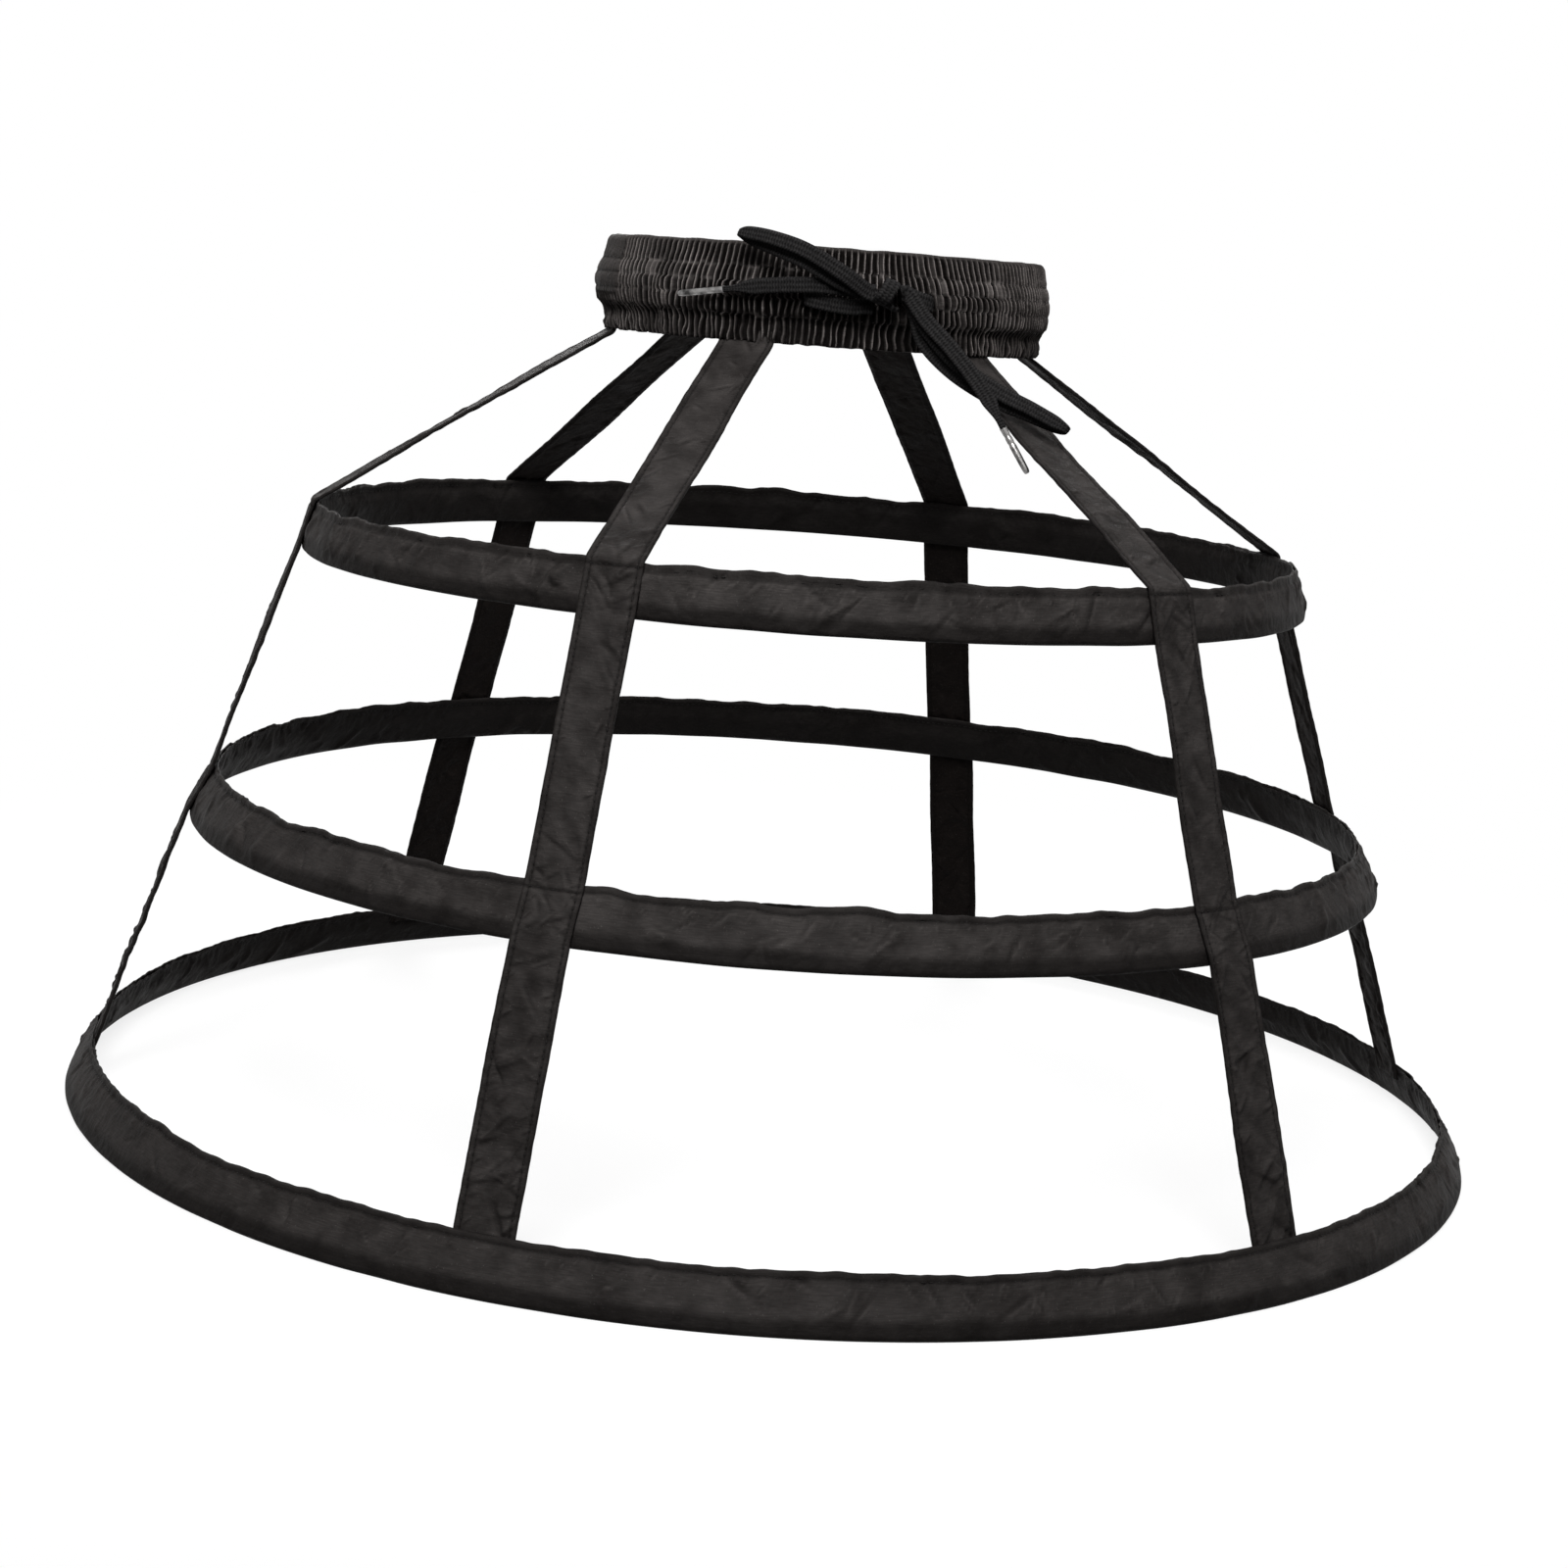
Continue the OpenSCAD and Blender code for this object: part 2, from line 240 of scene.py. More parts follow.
def bumped(tree, height, strength, distance, under=None):
    inputs = {"Height": height, "Strength": strength, "Distance": distance}
    if under:
        inputs["Normal"] = under
    return add(tree, "Bump", inputs).outputs["Normal"]


def cloth_material(name, dark, pale, crinkle, crumple):
    """Plain-woven taffeta, with a UV map in metres and a painted shade: above zero it darkens folds, below
    zero it paints a highlight on ridges.
    """
    material, tree, shader = new_material(name)
    place = add(tree, "TexCoord")
    solid = place.outputs["Object"]
    weave_at = add(tree, "SeparateXYZ", {0: place.outputs["UV"]})
    turns = TURN / THREAD_PITCH
    warp = math_node(tree, "SINE", product(tree, weave_at.outputs[0], turns))
    weft = math_node(tree, "SINE", product(tree, weave_at.outputs[1], turns))
    weave = product(tree, warp, weft)
    slub_at = add(tree, "Mapping", {"Vector": place.outputs["UV"], "Scale": SLUBS_PER_METRE})
    slub = noise_of(tree, slub_at.outputs[0], 1.0, 2.0)
    cloud = noise_of(tree, solid, 75.0, 6.0)
    fleck = noise_of(tree, solid, 1500.0, 1.0)
    face = blend_colours(tree, spread(tree, cloud, 0.0, 1.0), dark, pale)
    threads = math_node(tree, "ADD", spread(tree, slub, 0.78, 1.2), product(tree, weave, 0.08))
    toned = add(tree, "VectorMath", {0: face, 1: threads}, operation="MULTIPLY").outputs[0]
    linted = blend_colours(tree, spread(tree, fleck, 0.0, 0.35, 0.7, 0.78), toned, LINT)
    # Painted shade and painted highlight: the shade attribute blends the colour towards SHADED where it is
    # above zero, and towards a paler copy of the cloth on ridges where it is below zero.
    shade = add(tree, "Attribute", attribute_name="shade").outputs["Fac"]
    highlight_colour = tuple(RIDGE_HIGHLIGHT * c for c in pale[:3]) + (1,)
    ridge_highlighted = blend_colours(tree, product(tree, shade, -1.0), linted, highlight_colour)
    woven = bumped(tree, weave, 0.35, 0.00006)
    slubbed = bumped(tree, slub, 0.3, 0.00012, woven)
    creased = bumped(tree, noise_of(tree, solid, crinkle, 4.0), 0.55, 0.0018, slubbed)
    bent = add(tree, "TexNoise", {"Vector": solid, "Scale": 60.0}).outputs["Color"]
    stray = {0: bent, 1: (0.012, 0.012, 0.012)}
    strayed = add(tree, "VectorMath", stray, operation="MULTIPLY").outputs[0]
    facet_at = add(tree, "VectorMath", {0: solid, 1: strayed}).outputs[0]
    facets = add(tree, "TexVoronoi", {"Vector": facet_at, "Scale": 130.0}).outputs["Distance"]
    feed(tree, shader, {
        "Base Color": blend_colours(tree, shade, ridge_highlighted, SHADED),
        "Roughness": spread(tree, cloud, 0.48, 0.66), "Specular IOR Level": CLOTH_GLOSS,
        "Normal": bumped(tree, facets, crumple, 0.0022, creased),
    })
    return material


def braid_material():
    """Matt flat braid: three ribs of slanted stitches that lean the other way on each rib."""
    material, tree, shader = new_material("braid")
    along = add(tree, "Attribute", attribute_name="along").outputs["Fac"]
    across = add(tree, "Attribute", attribute_name="across").outputs["Fac"]
    place = add(tree, "TexCoord")
    leaning = math_node(tree, "PINGPONG", product(tree, across, 3.0), 1.0)
    steps = product(tree, along, 1 / PLAIT_PITCH)
    slanted = math_node(tree, "ADD", steps, product(tree, leaning, 0.35))
    plait = math_node(tree, "SINE", product(tree, slanted, TURN))
    rib = math_node(tree, "COSINE", product(tree, across, 1.5 * TURN))
    edge = math_node(tree, "POWER", math_node(tree, "ABSOLUTE", across), 9.0)
    ribbed = product(tree, math_node(tree, "ADD", rib, edge), 0.3)
    height = math_node(tree, "ADD", product(tree, plait, 0.4), ribbed)
    fuzz = noise_of(tree, place.outputs["Object"], 900.0, 4.0)
    # Painted shade and highlight: the relief's height darkens the grooves between ribs and stitches and
    # lightens their tops; the fuzz adds random tone.
    tone = product(tree, math_node(tree, "ADD", height, 0.8), spread(tree, fuzz, 0.3, 0.9))
    plaited = bumped(tree, height, 0.7, 0.00025)
    feed(tree, shader, {
        "Base Color": blend_colours(tree, tone, (0.0035, 0.0033, 0.0034, 1), (0.027, 0.026, 0.0262, 1)),
        "Roughness": spread(tree, fuzz, 0.72, 0.92), "Specular IOR Level": CLOTH_GLOSS,
        "Normal": bumped(tree, fuzz, 0.3, 0.0002, plaited),
    })
    return material


def grained_material(name, grain, low, high, roughness, relief, extra):
    """A surface whose grain (scale, detail) shows in its colour, roughness and relief (strength, depth)."""
    material, tree, shader = new_material(name)
    place = add(tree, "TexCoord")
    mottle = noise_of(tree, place.outputs["Object"], *grain)
    feed(tree, shader, {
        "Base Color": blend_colours(tree, spread(tree, mottle, 0.0, 1.0), low, high),
        "Roughness": spread(tree, mottle, *roughness), "Normal": bumped(tree, mottle, *relief), **extra,
    })
    return material


def elastic_material():
    """Woven elastic with ribs that run round the waist."""
    material, tree, shader = new_material("elastic")
    place = add(tree, "TexCoord")
    wave = {"Vector": place.outputs["Object"], "Scale": 190.0, "Distortion": 1.2}
    ribs = add(tree, "TexWave", wave, bands_direction="Z").outputs["Fac"]
    feed(tree, shader, {
        "Base Color": blend_colours(tree, ribs, (0.5, 0.48, 0.44, 1), (0.78, 0.76, 0.71, 1)),
        "Roughness": spread(tree, ribs, 0.75, 0.9), "Normal": bumped(tree, ribs, 0.5, 0.0003),
    })
    return material


CLOTH = cloth_material("cloth", (0.017, 0.0151, 0.0144, 1), (0.0398, 0.036, 0.0346, 1), 210.0, 0.2)
TAPE_FACE = cloth_material("tape_face", (0.0168, 0.0149, 0.0142, 1), (0.0385, 0.0348, 0.0335, 1), 210.0, 0.35)
# The tape's back is a darker copy of the cloth: painted shade on the tape's back.
SHADED_TAPE_BACK = cloth_material("tape_back", (0.006, 0.0047, 0.0043, 1), (0.0115, 0.0093, 0.0085, 1), 210.0, 0.4)
# The gathers' colours are far paler than the cloth's: a painted highlight on their crests, which painted
# shade darkens in the valleys.
HIGHLIGHTED_GATHERS = cloth_material("gathers", (0.125, 0.112, 0.107, 1), (0.25, 0.225, 0.216, 1), 330.0, 0.2)
BRAID = braid_material()
THREAD = grained_material("thread", (2200.0, 2.0), (0.004, 0.0037, 0.0036, 1), (0.02, 0.0185, 0.018, 1),
                          (0.4, 0.6), (0.4, 0.0001), {"Specular IOR Level": THREAD_GLOSS})
NICKEL = grained_material("nickel", (260.0, 3.0), (0.36, 0.352, 0.345, 1), (0.036, 0.0352, 0.0345, 1),
                          (0.2, 0.38), (0.08, 0.0001), {"Metallic": 1.0})
STEEL = grained_material("sleeve_steel", (260.0, 3.0), (0.6, 0.6, 0.61, 1), (0.45, 0.45, 0.4575, 1),
                         (0.35, 0.53), (0.08, 0.0001), {"Metallic": 1.0})
BONING = grained_material("boning", (180.0, 3.0), (0.72, 0.71, 0.66, 1), (0.84, 0.83, 0.79, 1),
                          (0.35, 0.5), (0.1, 0.0002), {})
ELASTIC = elastic_material()


# Camera, where the photograph was taken from

PHOTO_TURN = math.radians(-11)
CAMERA_AT = Vector((0, -1.2918, 0.3732))
PITCH = 0.174021
ROLL = 0.072237
YAW = -0.001518
SENSOR = 36
FOCAL_PIXELS = 2901.594
PHOTO_PIXELS = 1600


def add_camera():
    ahead = Vector((math.sin(YAW) * math.cos(PITCH), math.cos(YAW) * math.cos(PITCH), -math.sin(PITCH)))
    level = Vector((math.cos(YAW), -math.sin(YAW), 0))
    above = level.cross(ahead)
    right = math.cos(ROLL) * level + math.sin(ROLL) * above
    top = -math.sin(ROLL) * level + math.cos(ROLL) * above
    axes = Matrix((right, top, -ahead)).transposed().to_4x4()
    data = bpy.data.cameras.new("camera")
    data.sensor_width = SENSOR
    data.lens = SENSOR * FOCAL_PIXELS / PHOTO_PIXELS
    data.clip_end = 50
    camera = in_scene("camera", data)
    camera.matrix_world = Matrix.Rotation(PHOTO_TURN, 4, "Z") @ Matrix.Translation(CAMERA_AT) @ axes
    scene.camera = camera


add_camera()


# Drawstring: two leads, two loops and two tails of one flat braid, tied at the front

KNOT_AT = Vector((6, -107, 372))
LEAD_LEFT = [(-25.2, -94, 368), (-26.3, -98, 368), (-26, -100.5, 367.6), (-23.5, -102, 367),
             (-16, -103, 365.8), (-7, -103.25, 365.3), (-3, -103.25, 366), (1, -103.25, 366)]
LEAD_RIGHT = [(25.2, -94, 368), (26.3, -98, 368), (26, -100.5, 368.5), (23.5, -102, 369.5),
              (18, -103, 371), (14.5, -103.25, 372), (11, -103.25, 372)]
LOOP_LEFT = [(1, -108.25, 372), (-3, -108.25, 372), (-14.4, -108.75, 375.2), (-29.7, -107, 382.6),
             (-43.5, -98.5, 387.6), (-50.5, -93, 390.2), (-53.6, -91.3, 391.8), (-54.4, -93.5, 392.2),
             (-52, -97, 392.4), (-43.3, -104, 391), (-30.3, -111, 386.9), (-14.6, -113, 378.8),
             (-3, -110.75, 372), (1, -110.75, 372)]
LOOP_RIGHT = [(11, -105.75, 372), (14, -105.75, 372), (18.5, -106.1, 364), (23, -106.5, 353),
              (35.5, -109.5, 341.5), (52, -117, 332), (65, -123.5, 327), (75, -127, 323.3),
              (79.5, -129, 321.8), (78.5, -131.5, 323), (66, -128, 329.2), (52.5, -121.5, 335.3),
              (36, -113.5, 345.5), (23.5, -109.3, 358), (18, -108.4, 367), (14, -108.25, 372),
              (11, -108.25, 372)]
TAIL_LEFT = [(1, -105.75, 372), (-3, -105.75, 372), (-14, -105.75, 373), (-28, -104.5, 373),
             (-45, -95.5, 371.3), (-59, -86.5, 368.8)]
TAIL_RIGHT = [(11, -110.75, 372), (14, -110.75, 372), (21.9, -113.2, 361.8), (33.5, -118, 350),
              (45.8, -123.5, 334.8), (54, -128.5, 320.8)]
LOOP_LEFT_WIDTH = (0.35, 0, 0.94)
LOOP_RIGHT_WIDTH = (0.6, 0.1, 0.79)
TAIL_RIGHT_WIDTH = (0.75, 0, 0.66)
BRAID_SIDES = 36
BRAID_STEP = 1.0 * MM
TIP_REACH = 3.6 * MM
TAIL_END_WIDTH = 0.4
# A tail's braid narrows between these numbers of points before its end
NARROW_FROM = 14
NARROW_DONE = 3
AGLET_SIDES = 40
AGLET_LAP_TURN = -1.9
KNOT_TILT = math.radians(20)
KNOT_STEPS = 72
KNOT_TURNS = 1.12
KNOT_START = -0.31
KNOT_DEPTH = 6.7
KNOT_HEIGHT = 4.9
KNOT_ADVANCE = 7.0


def braid_frames(line, width, end_width=1.0, tip=None):
    """A frame for each point of the line: across, through and along the braid."""
    frames = []
    last = len(line) - 1
    for i, at in enumerate(line):
        along = (line[min(i + 1, last)] - line[max(i - 1, 0)]).normalized()
        across = (width - width.dot(along) * along).normalized()
        share = 1 - (1 - end_width) * ease(last - NARROW_FROM, last - NARROW_DONE, i)
        if tip:
            away = (at - tip).length
            share -= 0.3 * bell(away, TIP_REACH) + 0.15 * bell(away, 6 * TIP_REACH)
        half_width = CORD_W / 2 * share * MM
        half_thickness = CORD_T / 2 * (0.5 + 0.5 / share) * MM
        axes = Matrix((across * half_width, along.cross(across) * half_thickness, along))
        frame_at = axes.transposed().to_4x4()
        frame_at.translation = at
        frames.append(frame_at)
    return frames


def sweep_braid(bm, frames):
    """Draws the braid's section, a flat oval with two grooves, along the frames."""
    along = bm.verts.layers.float.new("along")
    across = bm.verts.layers.float.new("across")
    section = []
    for k in range(BRAID_SIDES):
        turn = TURN * k / BRAID_SIDES
        x = math.copysign(abs(math.cos(turn)) ** 0.55, math.cos(turn))
        y = math.copysign(abs(math.sin(turn)) ** 0.7, math.sin(turn))
        section.append(Vector((x, y * (1 - 0.12 * bell(abs(x) - 0.34, 0.12)), 0)))
    runs = distances([frame_at.translation for frame_at in frames])
    rings = []
    for frame_at, run in zip(frames, runs):
        rings.append([bm.verts.new(frame_at @ p) for p in section])
        for v, p in zip(rings[-1], section):
            v[across] = p.x
            v[along] = run
    for a, b in zip(rings, rings[1:]):
        for k in range(BRAID_SIDES):
            bm.faces.new((a[k - 1], a[k], b[k], b[k - 1]))
    for ring in (rings[0], rings[-1]):
        bm.faces.new(ring)
    bmesh.ops.recalc_face_normals(bm, faces=bm.faces)


def in_metres(points):
    return [Vector(p) * MM for p in points]


def add_stretch(name, points, width, node, end_width=1.0):
    """One stretch of the drawstring's braid, and the line that it follows; a loop's far fold is its tip."""
    line = smooth_line(in_metres(points), BRAID_STEP)
    tip = None
    if (line[0] - line[-1]).length < CORD_W * MM:
        tip = max(line, key=lambda p: (p - line[0]).length)
    bm = bmesh.new()
    sweep_braid(bm, braid_frames(line, Vector(width), end_width, tip))
    return keep_piece(bm, name, BRAID, [node]), line


def add_free_stretch(name, points, width, node, end_width=1.0):
    """A stretch that hangs free of the knot: a loop or a tail."""
    piece, line = add_stretch(name, points, width, node, end_width)


def add_aglet(name, points, node):
    """Rolled metal tip: a flared mouth, two crimps, a lapped seam and a rounded end."""
    before, at = in_metres(points[-2:])
    outline = [(1.35, -0.6), (1.55, -0.5), (1.6, -0.1), (1.5, 0.7), (1.46, 2.6), (1.3, 3.3), (1.3, 3.8),
               (1.46, 4.5), (1.46, 6.2), (1.3, 6.9), (1.3, 7.4), (1.46, 8.1), (1.46, 12.0), (1.4, 17.5),
               (1.32, 19.6), (1.1, 20.6), (0.65, 20.95), (0.0, 21.0)]
    bm = bmesh.new()
    verts = [bm.verts.new((r * MM, 0, z * MM)) for r, z in outline]
    edges = [bm.edges.new(pair) for pair in zip(verts, verts[1:])]
    bmesh.ops.spin(bm, geom=verts + edges, axis=UP, cent=(0, 0, 0), steps=AGLET_SIDES, angle=TURN,
                   use_merge=True)
    bmesh.ops.remove_doubles(bm, verts=bm.verts, dist=1e-6)
    for v in bm.verts:
        lap = bell(math.atan2(v.co.y, v.co.x) - AGLET_LAP_TURN, 0.09)
        v.co.xy *= 1 - 0.12 * lap
    bmesh.ops.recalc_face_normals(bm, faces=bm.faces)
    turned = UP.rotation_difference((at - before).normalized()).to_matrix().to_4x4()
    bmesh.ops.transform(bm, matrix=Matrix.Translation(at) @ turned, verts=bm.verts)
    return keep_piece(bm, name, NICKEL, [node])


def add_knot():
    """The wrap of the knot: a turn of braid that crosses the strands, up to the right in front."""
    tilt = Matrix.Rotation(KNOT_TILT, 3, "Y")
    line = []
    for k in range(KNOT_STEPS + 1):
        share = k / KNOT_STEPS
        turn = TURN * (KNOT_TURNS * share + KNOT_START)
        y = -math.copysign(abs(math.cos(turn)) ** 0.75, math.cos(turn)) * KNOT_DEPTH
        z = math.copysign(abs(math.sin(turn)) ** 0.75, math.sin(turn)) * KNOT_HEIGHT
        line.append((KNOT_AT + tilt @ Vector((KNOT_ADVANCE * (share - 0.5), y, z))) * MM)
    bm = bmesh.new()
    sweep_braid(bm, braid_frames(line, tilt @ Vector((1, 0, 0))))
    keep_piece(bm, "bow_knot_wrap", BRAID, ["bow_knot"])


aglet_left = add_aglet("aglet_tip_left", TAIL_LEFT, "aglet_left")
aglet_right = add_aglet("aglet_tip_right", TAIL_RIGHT, "aglet_right")
add_stretch("drawstring_lead_left", LEAD_LEFT, UP, "drawstring_left")
add_stretch("drawstring_lead_right", LEAD_RIGHT, UP, "drawstring_right")
add_free_stretch("drawstring_loop_left", LOOP_LEFT, LOOP_LEFT_WIDTH, "drawstring_left")
add_free_stretch("drawstring_loop_right", LOOP_RIGHT, LOOP_RIGHT_WIDTH, "drawstring_right")
add_free_stretch("drawstring_tail_left", TAIL_LEFT, UP, "drawstring_left",
                 TAIL_END_WIDTH)
add_free_stretch("drawstring_tail_right", TAIL_RIGHT, TAIL_RIGHT_WIDTH, "drawstring_right",
                 TAIL_END_WIDTH)
add_knot()


# Cloth strips: each starts flat, with its weave in its UV map, and is then put where it goes

def cloth_strip(columns, rows, flat, place, closed):
    """A flat strip that place() rolls up: it gives a point in millimetres and its painted shade."""
    bm = bmesh.new()
    bmesh.ops.create_grid(bm, x_segments=columns, y_segments=rows, size=0.5)
    weave = bm.loops.layers.uv.new("weave")
    shade = bm.verts.layers.float.new("shade")
    for face in bm.faces:
        for loop in face.loops:
            at = loop.vert.co
            loop[weave].uv = ((at.x + 0.5) * flat[0], (at.y + 0.5) * flat[1])
    ends = [v for v in bm.verts if abs(abs(v.co.x) - 0.5) < 1e-6]
    for v in bm.verts:
        point, tone = place(v.co.x + 0.5, v.co.y + 0.5)
        v.co = point * MM
        v[shade] = tone
    if closed:
        bmesh.ops.remove_doubles(bm, verts=ends, dist=1e-6)
    return bm


OUTLINE_STEP = 0.25


class Outline:
    """A section's outline, read by the share of its length."""

    def __init__(self, points):
        self.line = spaced([Vector(p) for p in points], OUTLINE_STEP)
        self.length = distances(self.line)[-1]

    def at(self, share):
        place = min(max(share, 0.0), 1.0) * (len(self.line) - 1)
        k = min(int(place), len(self.line) - 2)
        return self.line[k].lerp(self.line[k + 1], place - k)


# Creases are looked up by stretches of the strip, each of this length
STRETCH = 24.0
CREASE_SLANT = (0.3, 1.3)
CREASE_HEIGHT = (0.4, 1.1)
CREASE_REACH = (2.5, 7.0)
CREASE_WIDTH = (1.0, 2.2)
TUCK_SLANT = (0.6, 1.4)
TUCK_HEIGHT = (0.35, 0.85)
TUCK_REACH = (1.3, 3.0)
TUCK_WIDTH = (0.7, 1.1)


def make_creases(rng, count, start, end, low, high, scale=1.0):
    """Short creases on a strip: where each is, its direction, and its reach, width and height."""
    found = []
    for _ in range(count):
        slant = rng.uniform(*CREASE_SLANT) * rng.choice((-1, 1))
        height = rng.uniform(*CREASE_HEIGHT) * rng.choice((1, 1, -1))
        found.append((rng.uniform(start, end), rng.uniform(low, high), slant,
                      scale * rng.uniform(*CREASE_REACH), scale * rng.uniform(*CREASE_WIDTH), scale * height))
    return found


def make_tucks(rng, start, end, gap, row, inward):
    """Small creases that run in from a row of stitches, about a gap apart."""
    found = []
    at = start
    while at < end:
        reach = rng.uniform(*TUCK_REACH)
        slant = rng.uniform(*TUCK_SLANT) * rng.choice((-1, 1))
        up = row + inward * reach * abs(math.sin(slant))
        found.append((at, up, slant, reach, rng.uniform(*TUCK_WIDTH), rng.uniform(*TUCK_HEIGHT)))
        at += rng.uniform(0.5, 1.5) * gap
    return found


def by_stretch(creases):
    """The creases that reach each stretch of a strip."""
    near = {}
    for crease in creases:
        for k in (-1, 0, 1):
            near.setdefault(int(crease[0] // STRETCH) + k, []).append(crease)
    return near


def crease_at(near, along, across):
    """How far the creases lift the cloth at a point, and its painted shade: dark in a fold, with a painted
    highlight, pale on a ridge.
    """
    rise = 0.0
    fold = 0.0
    ridge = 0.0
    for at, up, slant, reach, width, height in near.get(int(along // STRETCH), ()):
        dx = along - at
        dy = across - up
        run = dx * math.cos(slant) + dy * math.sin(slant)
        off = dy * math.cos(slant) - dx * math.sin(slant)
        if abs(run) < 2 * reach and abs(off) < 2 * width:
            rise += height * bell(run, reach) * bell(off, width if off < 0 else 0.55 * width)
            line = min(1.0, 0.35 + abs(height)) * bell(run, 0.8 * reach)
            fold = max(fold, line * bell(off - 0.6 * width, min(0.4 * width, 0.8)))
            ridge = max(ridge, line * bell(off + 0.15 * width, min(0.4 * width, 0.8)))
    return rise, 0.55 * fold - 0.4 * ridge


STITCH_HALF = (1.15, 0.28, 0.2)


def stitch_shape():
    """A ball that each stitch is stretched from."""
    bm = bmesh.new()
    bmesh.ops.create_icosphere(bm, subdivisions=1, radius=1.0)
    return finished_mesh(bm, "stitch")


STITCH = stitch_shape()


def add_stitches(name, places):
    """A row of stitches: each place is its middle, its direction and the way it faces."""
    long, wide, high = (half * MM for half in STITCH_HALF)
    bm = bmesh.new()
    for at, along, out in places:
        across = out.cross(along).normalized()
        frame_at = Matrix((along * long, across * wide, out * high)).transposed().to_4x4()
        frame_at.translation = at * MM
        stitch = STITCH.copy()
        stitch.transform(frame_at)
        bm.from_mesh(stitch)
        bpy.data.meshes.remove(stitch)
    keep_piece(bm, name, THREAD)


# Waistband: gathered cloth over the elastic, with rows of stitches, a frill below them and a flat seam patch

GATHERS = 216
GATHER_COLUMNS = 8
GATHER_DEPTH = 2.5
ELASTIC_R = 95.5
CHANNEL_R = 97.4
CHANNEL = (363.3, 372.7)
FRILL_TOP = 359.5
FRILL_STEP = 3.1
FULLEST_Z = 369.0
BAND_ROW = 0.96
STITCH_ROWS = (359.5, 366.6, 373.0, 379.2)
PATCH_TURN = math.radians(-82)
PATCH_HALF = 17.0
PATCH_LOW = 363.5
BAND_FLAT = (1.02, 0.056)
LINING_FLAT = (0.64, 0.046)
LINING_COLUMNS = 944
LINING_ROWS = 40


def band_crest(z):
    """Radius of the gathers' crests at a height."""
    r = WAIST_R + 0.3 + 0.9 * bell(z - FULLEST_Z, 8.0)
    r -= FRILL_STEP * (1 - ease(FRILL_TOP - 3.0, FRILL_TOP + 1.5, z))
    r -= 1.3 * ease(WAIST_TOP - 3.4, WAIST_TOP + 0.3, z) ** 2 + 2.8 * ease(371, WAIST_TOP, z)
    return r - 0.8 * (1 - ease(WAIST_LOW, WAIST_LOW + 2.0, z))


def band_rows():
    """The outer cloth from hem to fold: radius, height and the gathers' share of each row."""
    rows = [(95.4, 353.0, 0.0), (95.4, 350.4, 0.0), (95.5, 348.9, 0.15), (95.9, 348.1, 0.4)]
    z = 348.15
    while z < 387.6:
        rows.append((band_crest(z), z, 1.0))
        z += BAND_ROW
    rows += [(96.5, 388.5, 0.8), (95.7, 389.0, 0.55), (94.7, 389.0, 0.45), (93.5, 388.7, 0.35),
             (92.7, 387.8, 0.3), (92.6, 386.4, 0.2)]
    return rows


def at_rows(z, width):
    """One on a row of stitches, and less away from it."""
    return max(bell(z - row, width) for row in STITCH_ROWS)


def patch_share(turn, z):
    """One on the flat seam patch and zero off it."""
    aside = abs((turn - PATCH_TURN + math.pi) % TURN - math.pi) * WAIST_R
    return (1 - ease(PATCH_HALF - 1.2, PATCH_HALF + 1.2, aside)) * ease(PATCH_LOW - 1, PATCH_LOW + 1, z)


def gather_slip(turn, z, channel):
    """How far the gathers lean and stray sideways, counted in gathers."""
    lean = 2.6 * ring_ripple(31, turn, 9) * (z - 371) / 20
    stray = 0.75 * ring_ripple(37, turn, 60, channel * 0.9) + 0.35 * ring_ripple(41, turn, 110, z * 0.14)
    return lean + (1 - 0.6 * ease(370, 376, z)) * stray


def gather_depth(gather, z, channel, frill, patch):
    """How deep a gather is: less at the stitches, and hardly at all on the patch."""
    deep = 0.95 + 0.5 * ripple(47 + channel, gather * 0.83, z * 0.04)
    deep *= 1 - 0.2 * at_rows(z, 1.0) * (1 + ripple(48, gather * 0.37, channel))
    return deep * (1 + 0.15 * frill) * (1 - 0.95 * patch)


def gather_swell(gather, turn, z, channel, frill, patch):
    """How far the band stands out: in at the stitches, and fuller on its left side."""
    swell = 0.4 * ring_ripple(53, turn, 70, z * 0.1) + 0.2 * patch
    swell += frill * 1.3 * ring_ripple(57, turn, 150, z * 0.22)
    swell += 1.4 * bell(z - FULLEST_Z, 9.0) * max(0.0, -math.sin(turn + 0.2))
    return swell - 0.5 * at_rows(z, 1.0) * (1 + 0.8 * ripple(49, gather * 0.29, channel * 3.1))


def gather_shade_and_blotch(gather, z):
    """Painted shade on a gather's crest, darker near the frill and towards the top, with random blotches of
    tone that differ most near the frill.
    """
    low = 1 - ease(356, 366, z)
    blotch = (0.6 + 0.3 * low) * ripple(63, gather * 0.31, z * 0.09)
    return 0.12 + 0.2 * low + 0.12 * ease(372, 382, z) + blotch


def buttonholes(angle, z):
    """Shares of the buttonholes' slots and of their raised rims at a place."""
    slot = 0.0
    rim = 0.0
    for side in (-1, 1):
        aside = (angle - side * BUTTONHOLE_TURN) * WAIST_R
        slot += bell(aside, 1.5) * (1 - ease(3.6, 5.2, abs(z - BUTTONHOLE_Z)))
        rim += bell(math.hypot(aside / 2.6, (z - BUTTONHOLE_Z) / 5.6) - 1, 0.28)
    return slot, rim


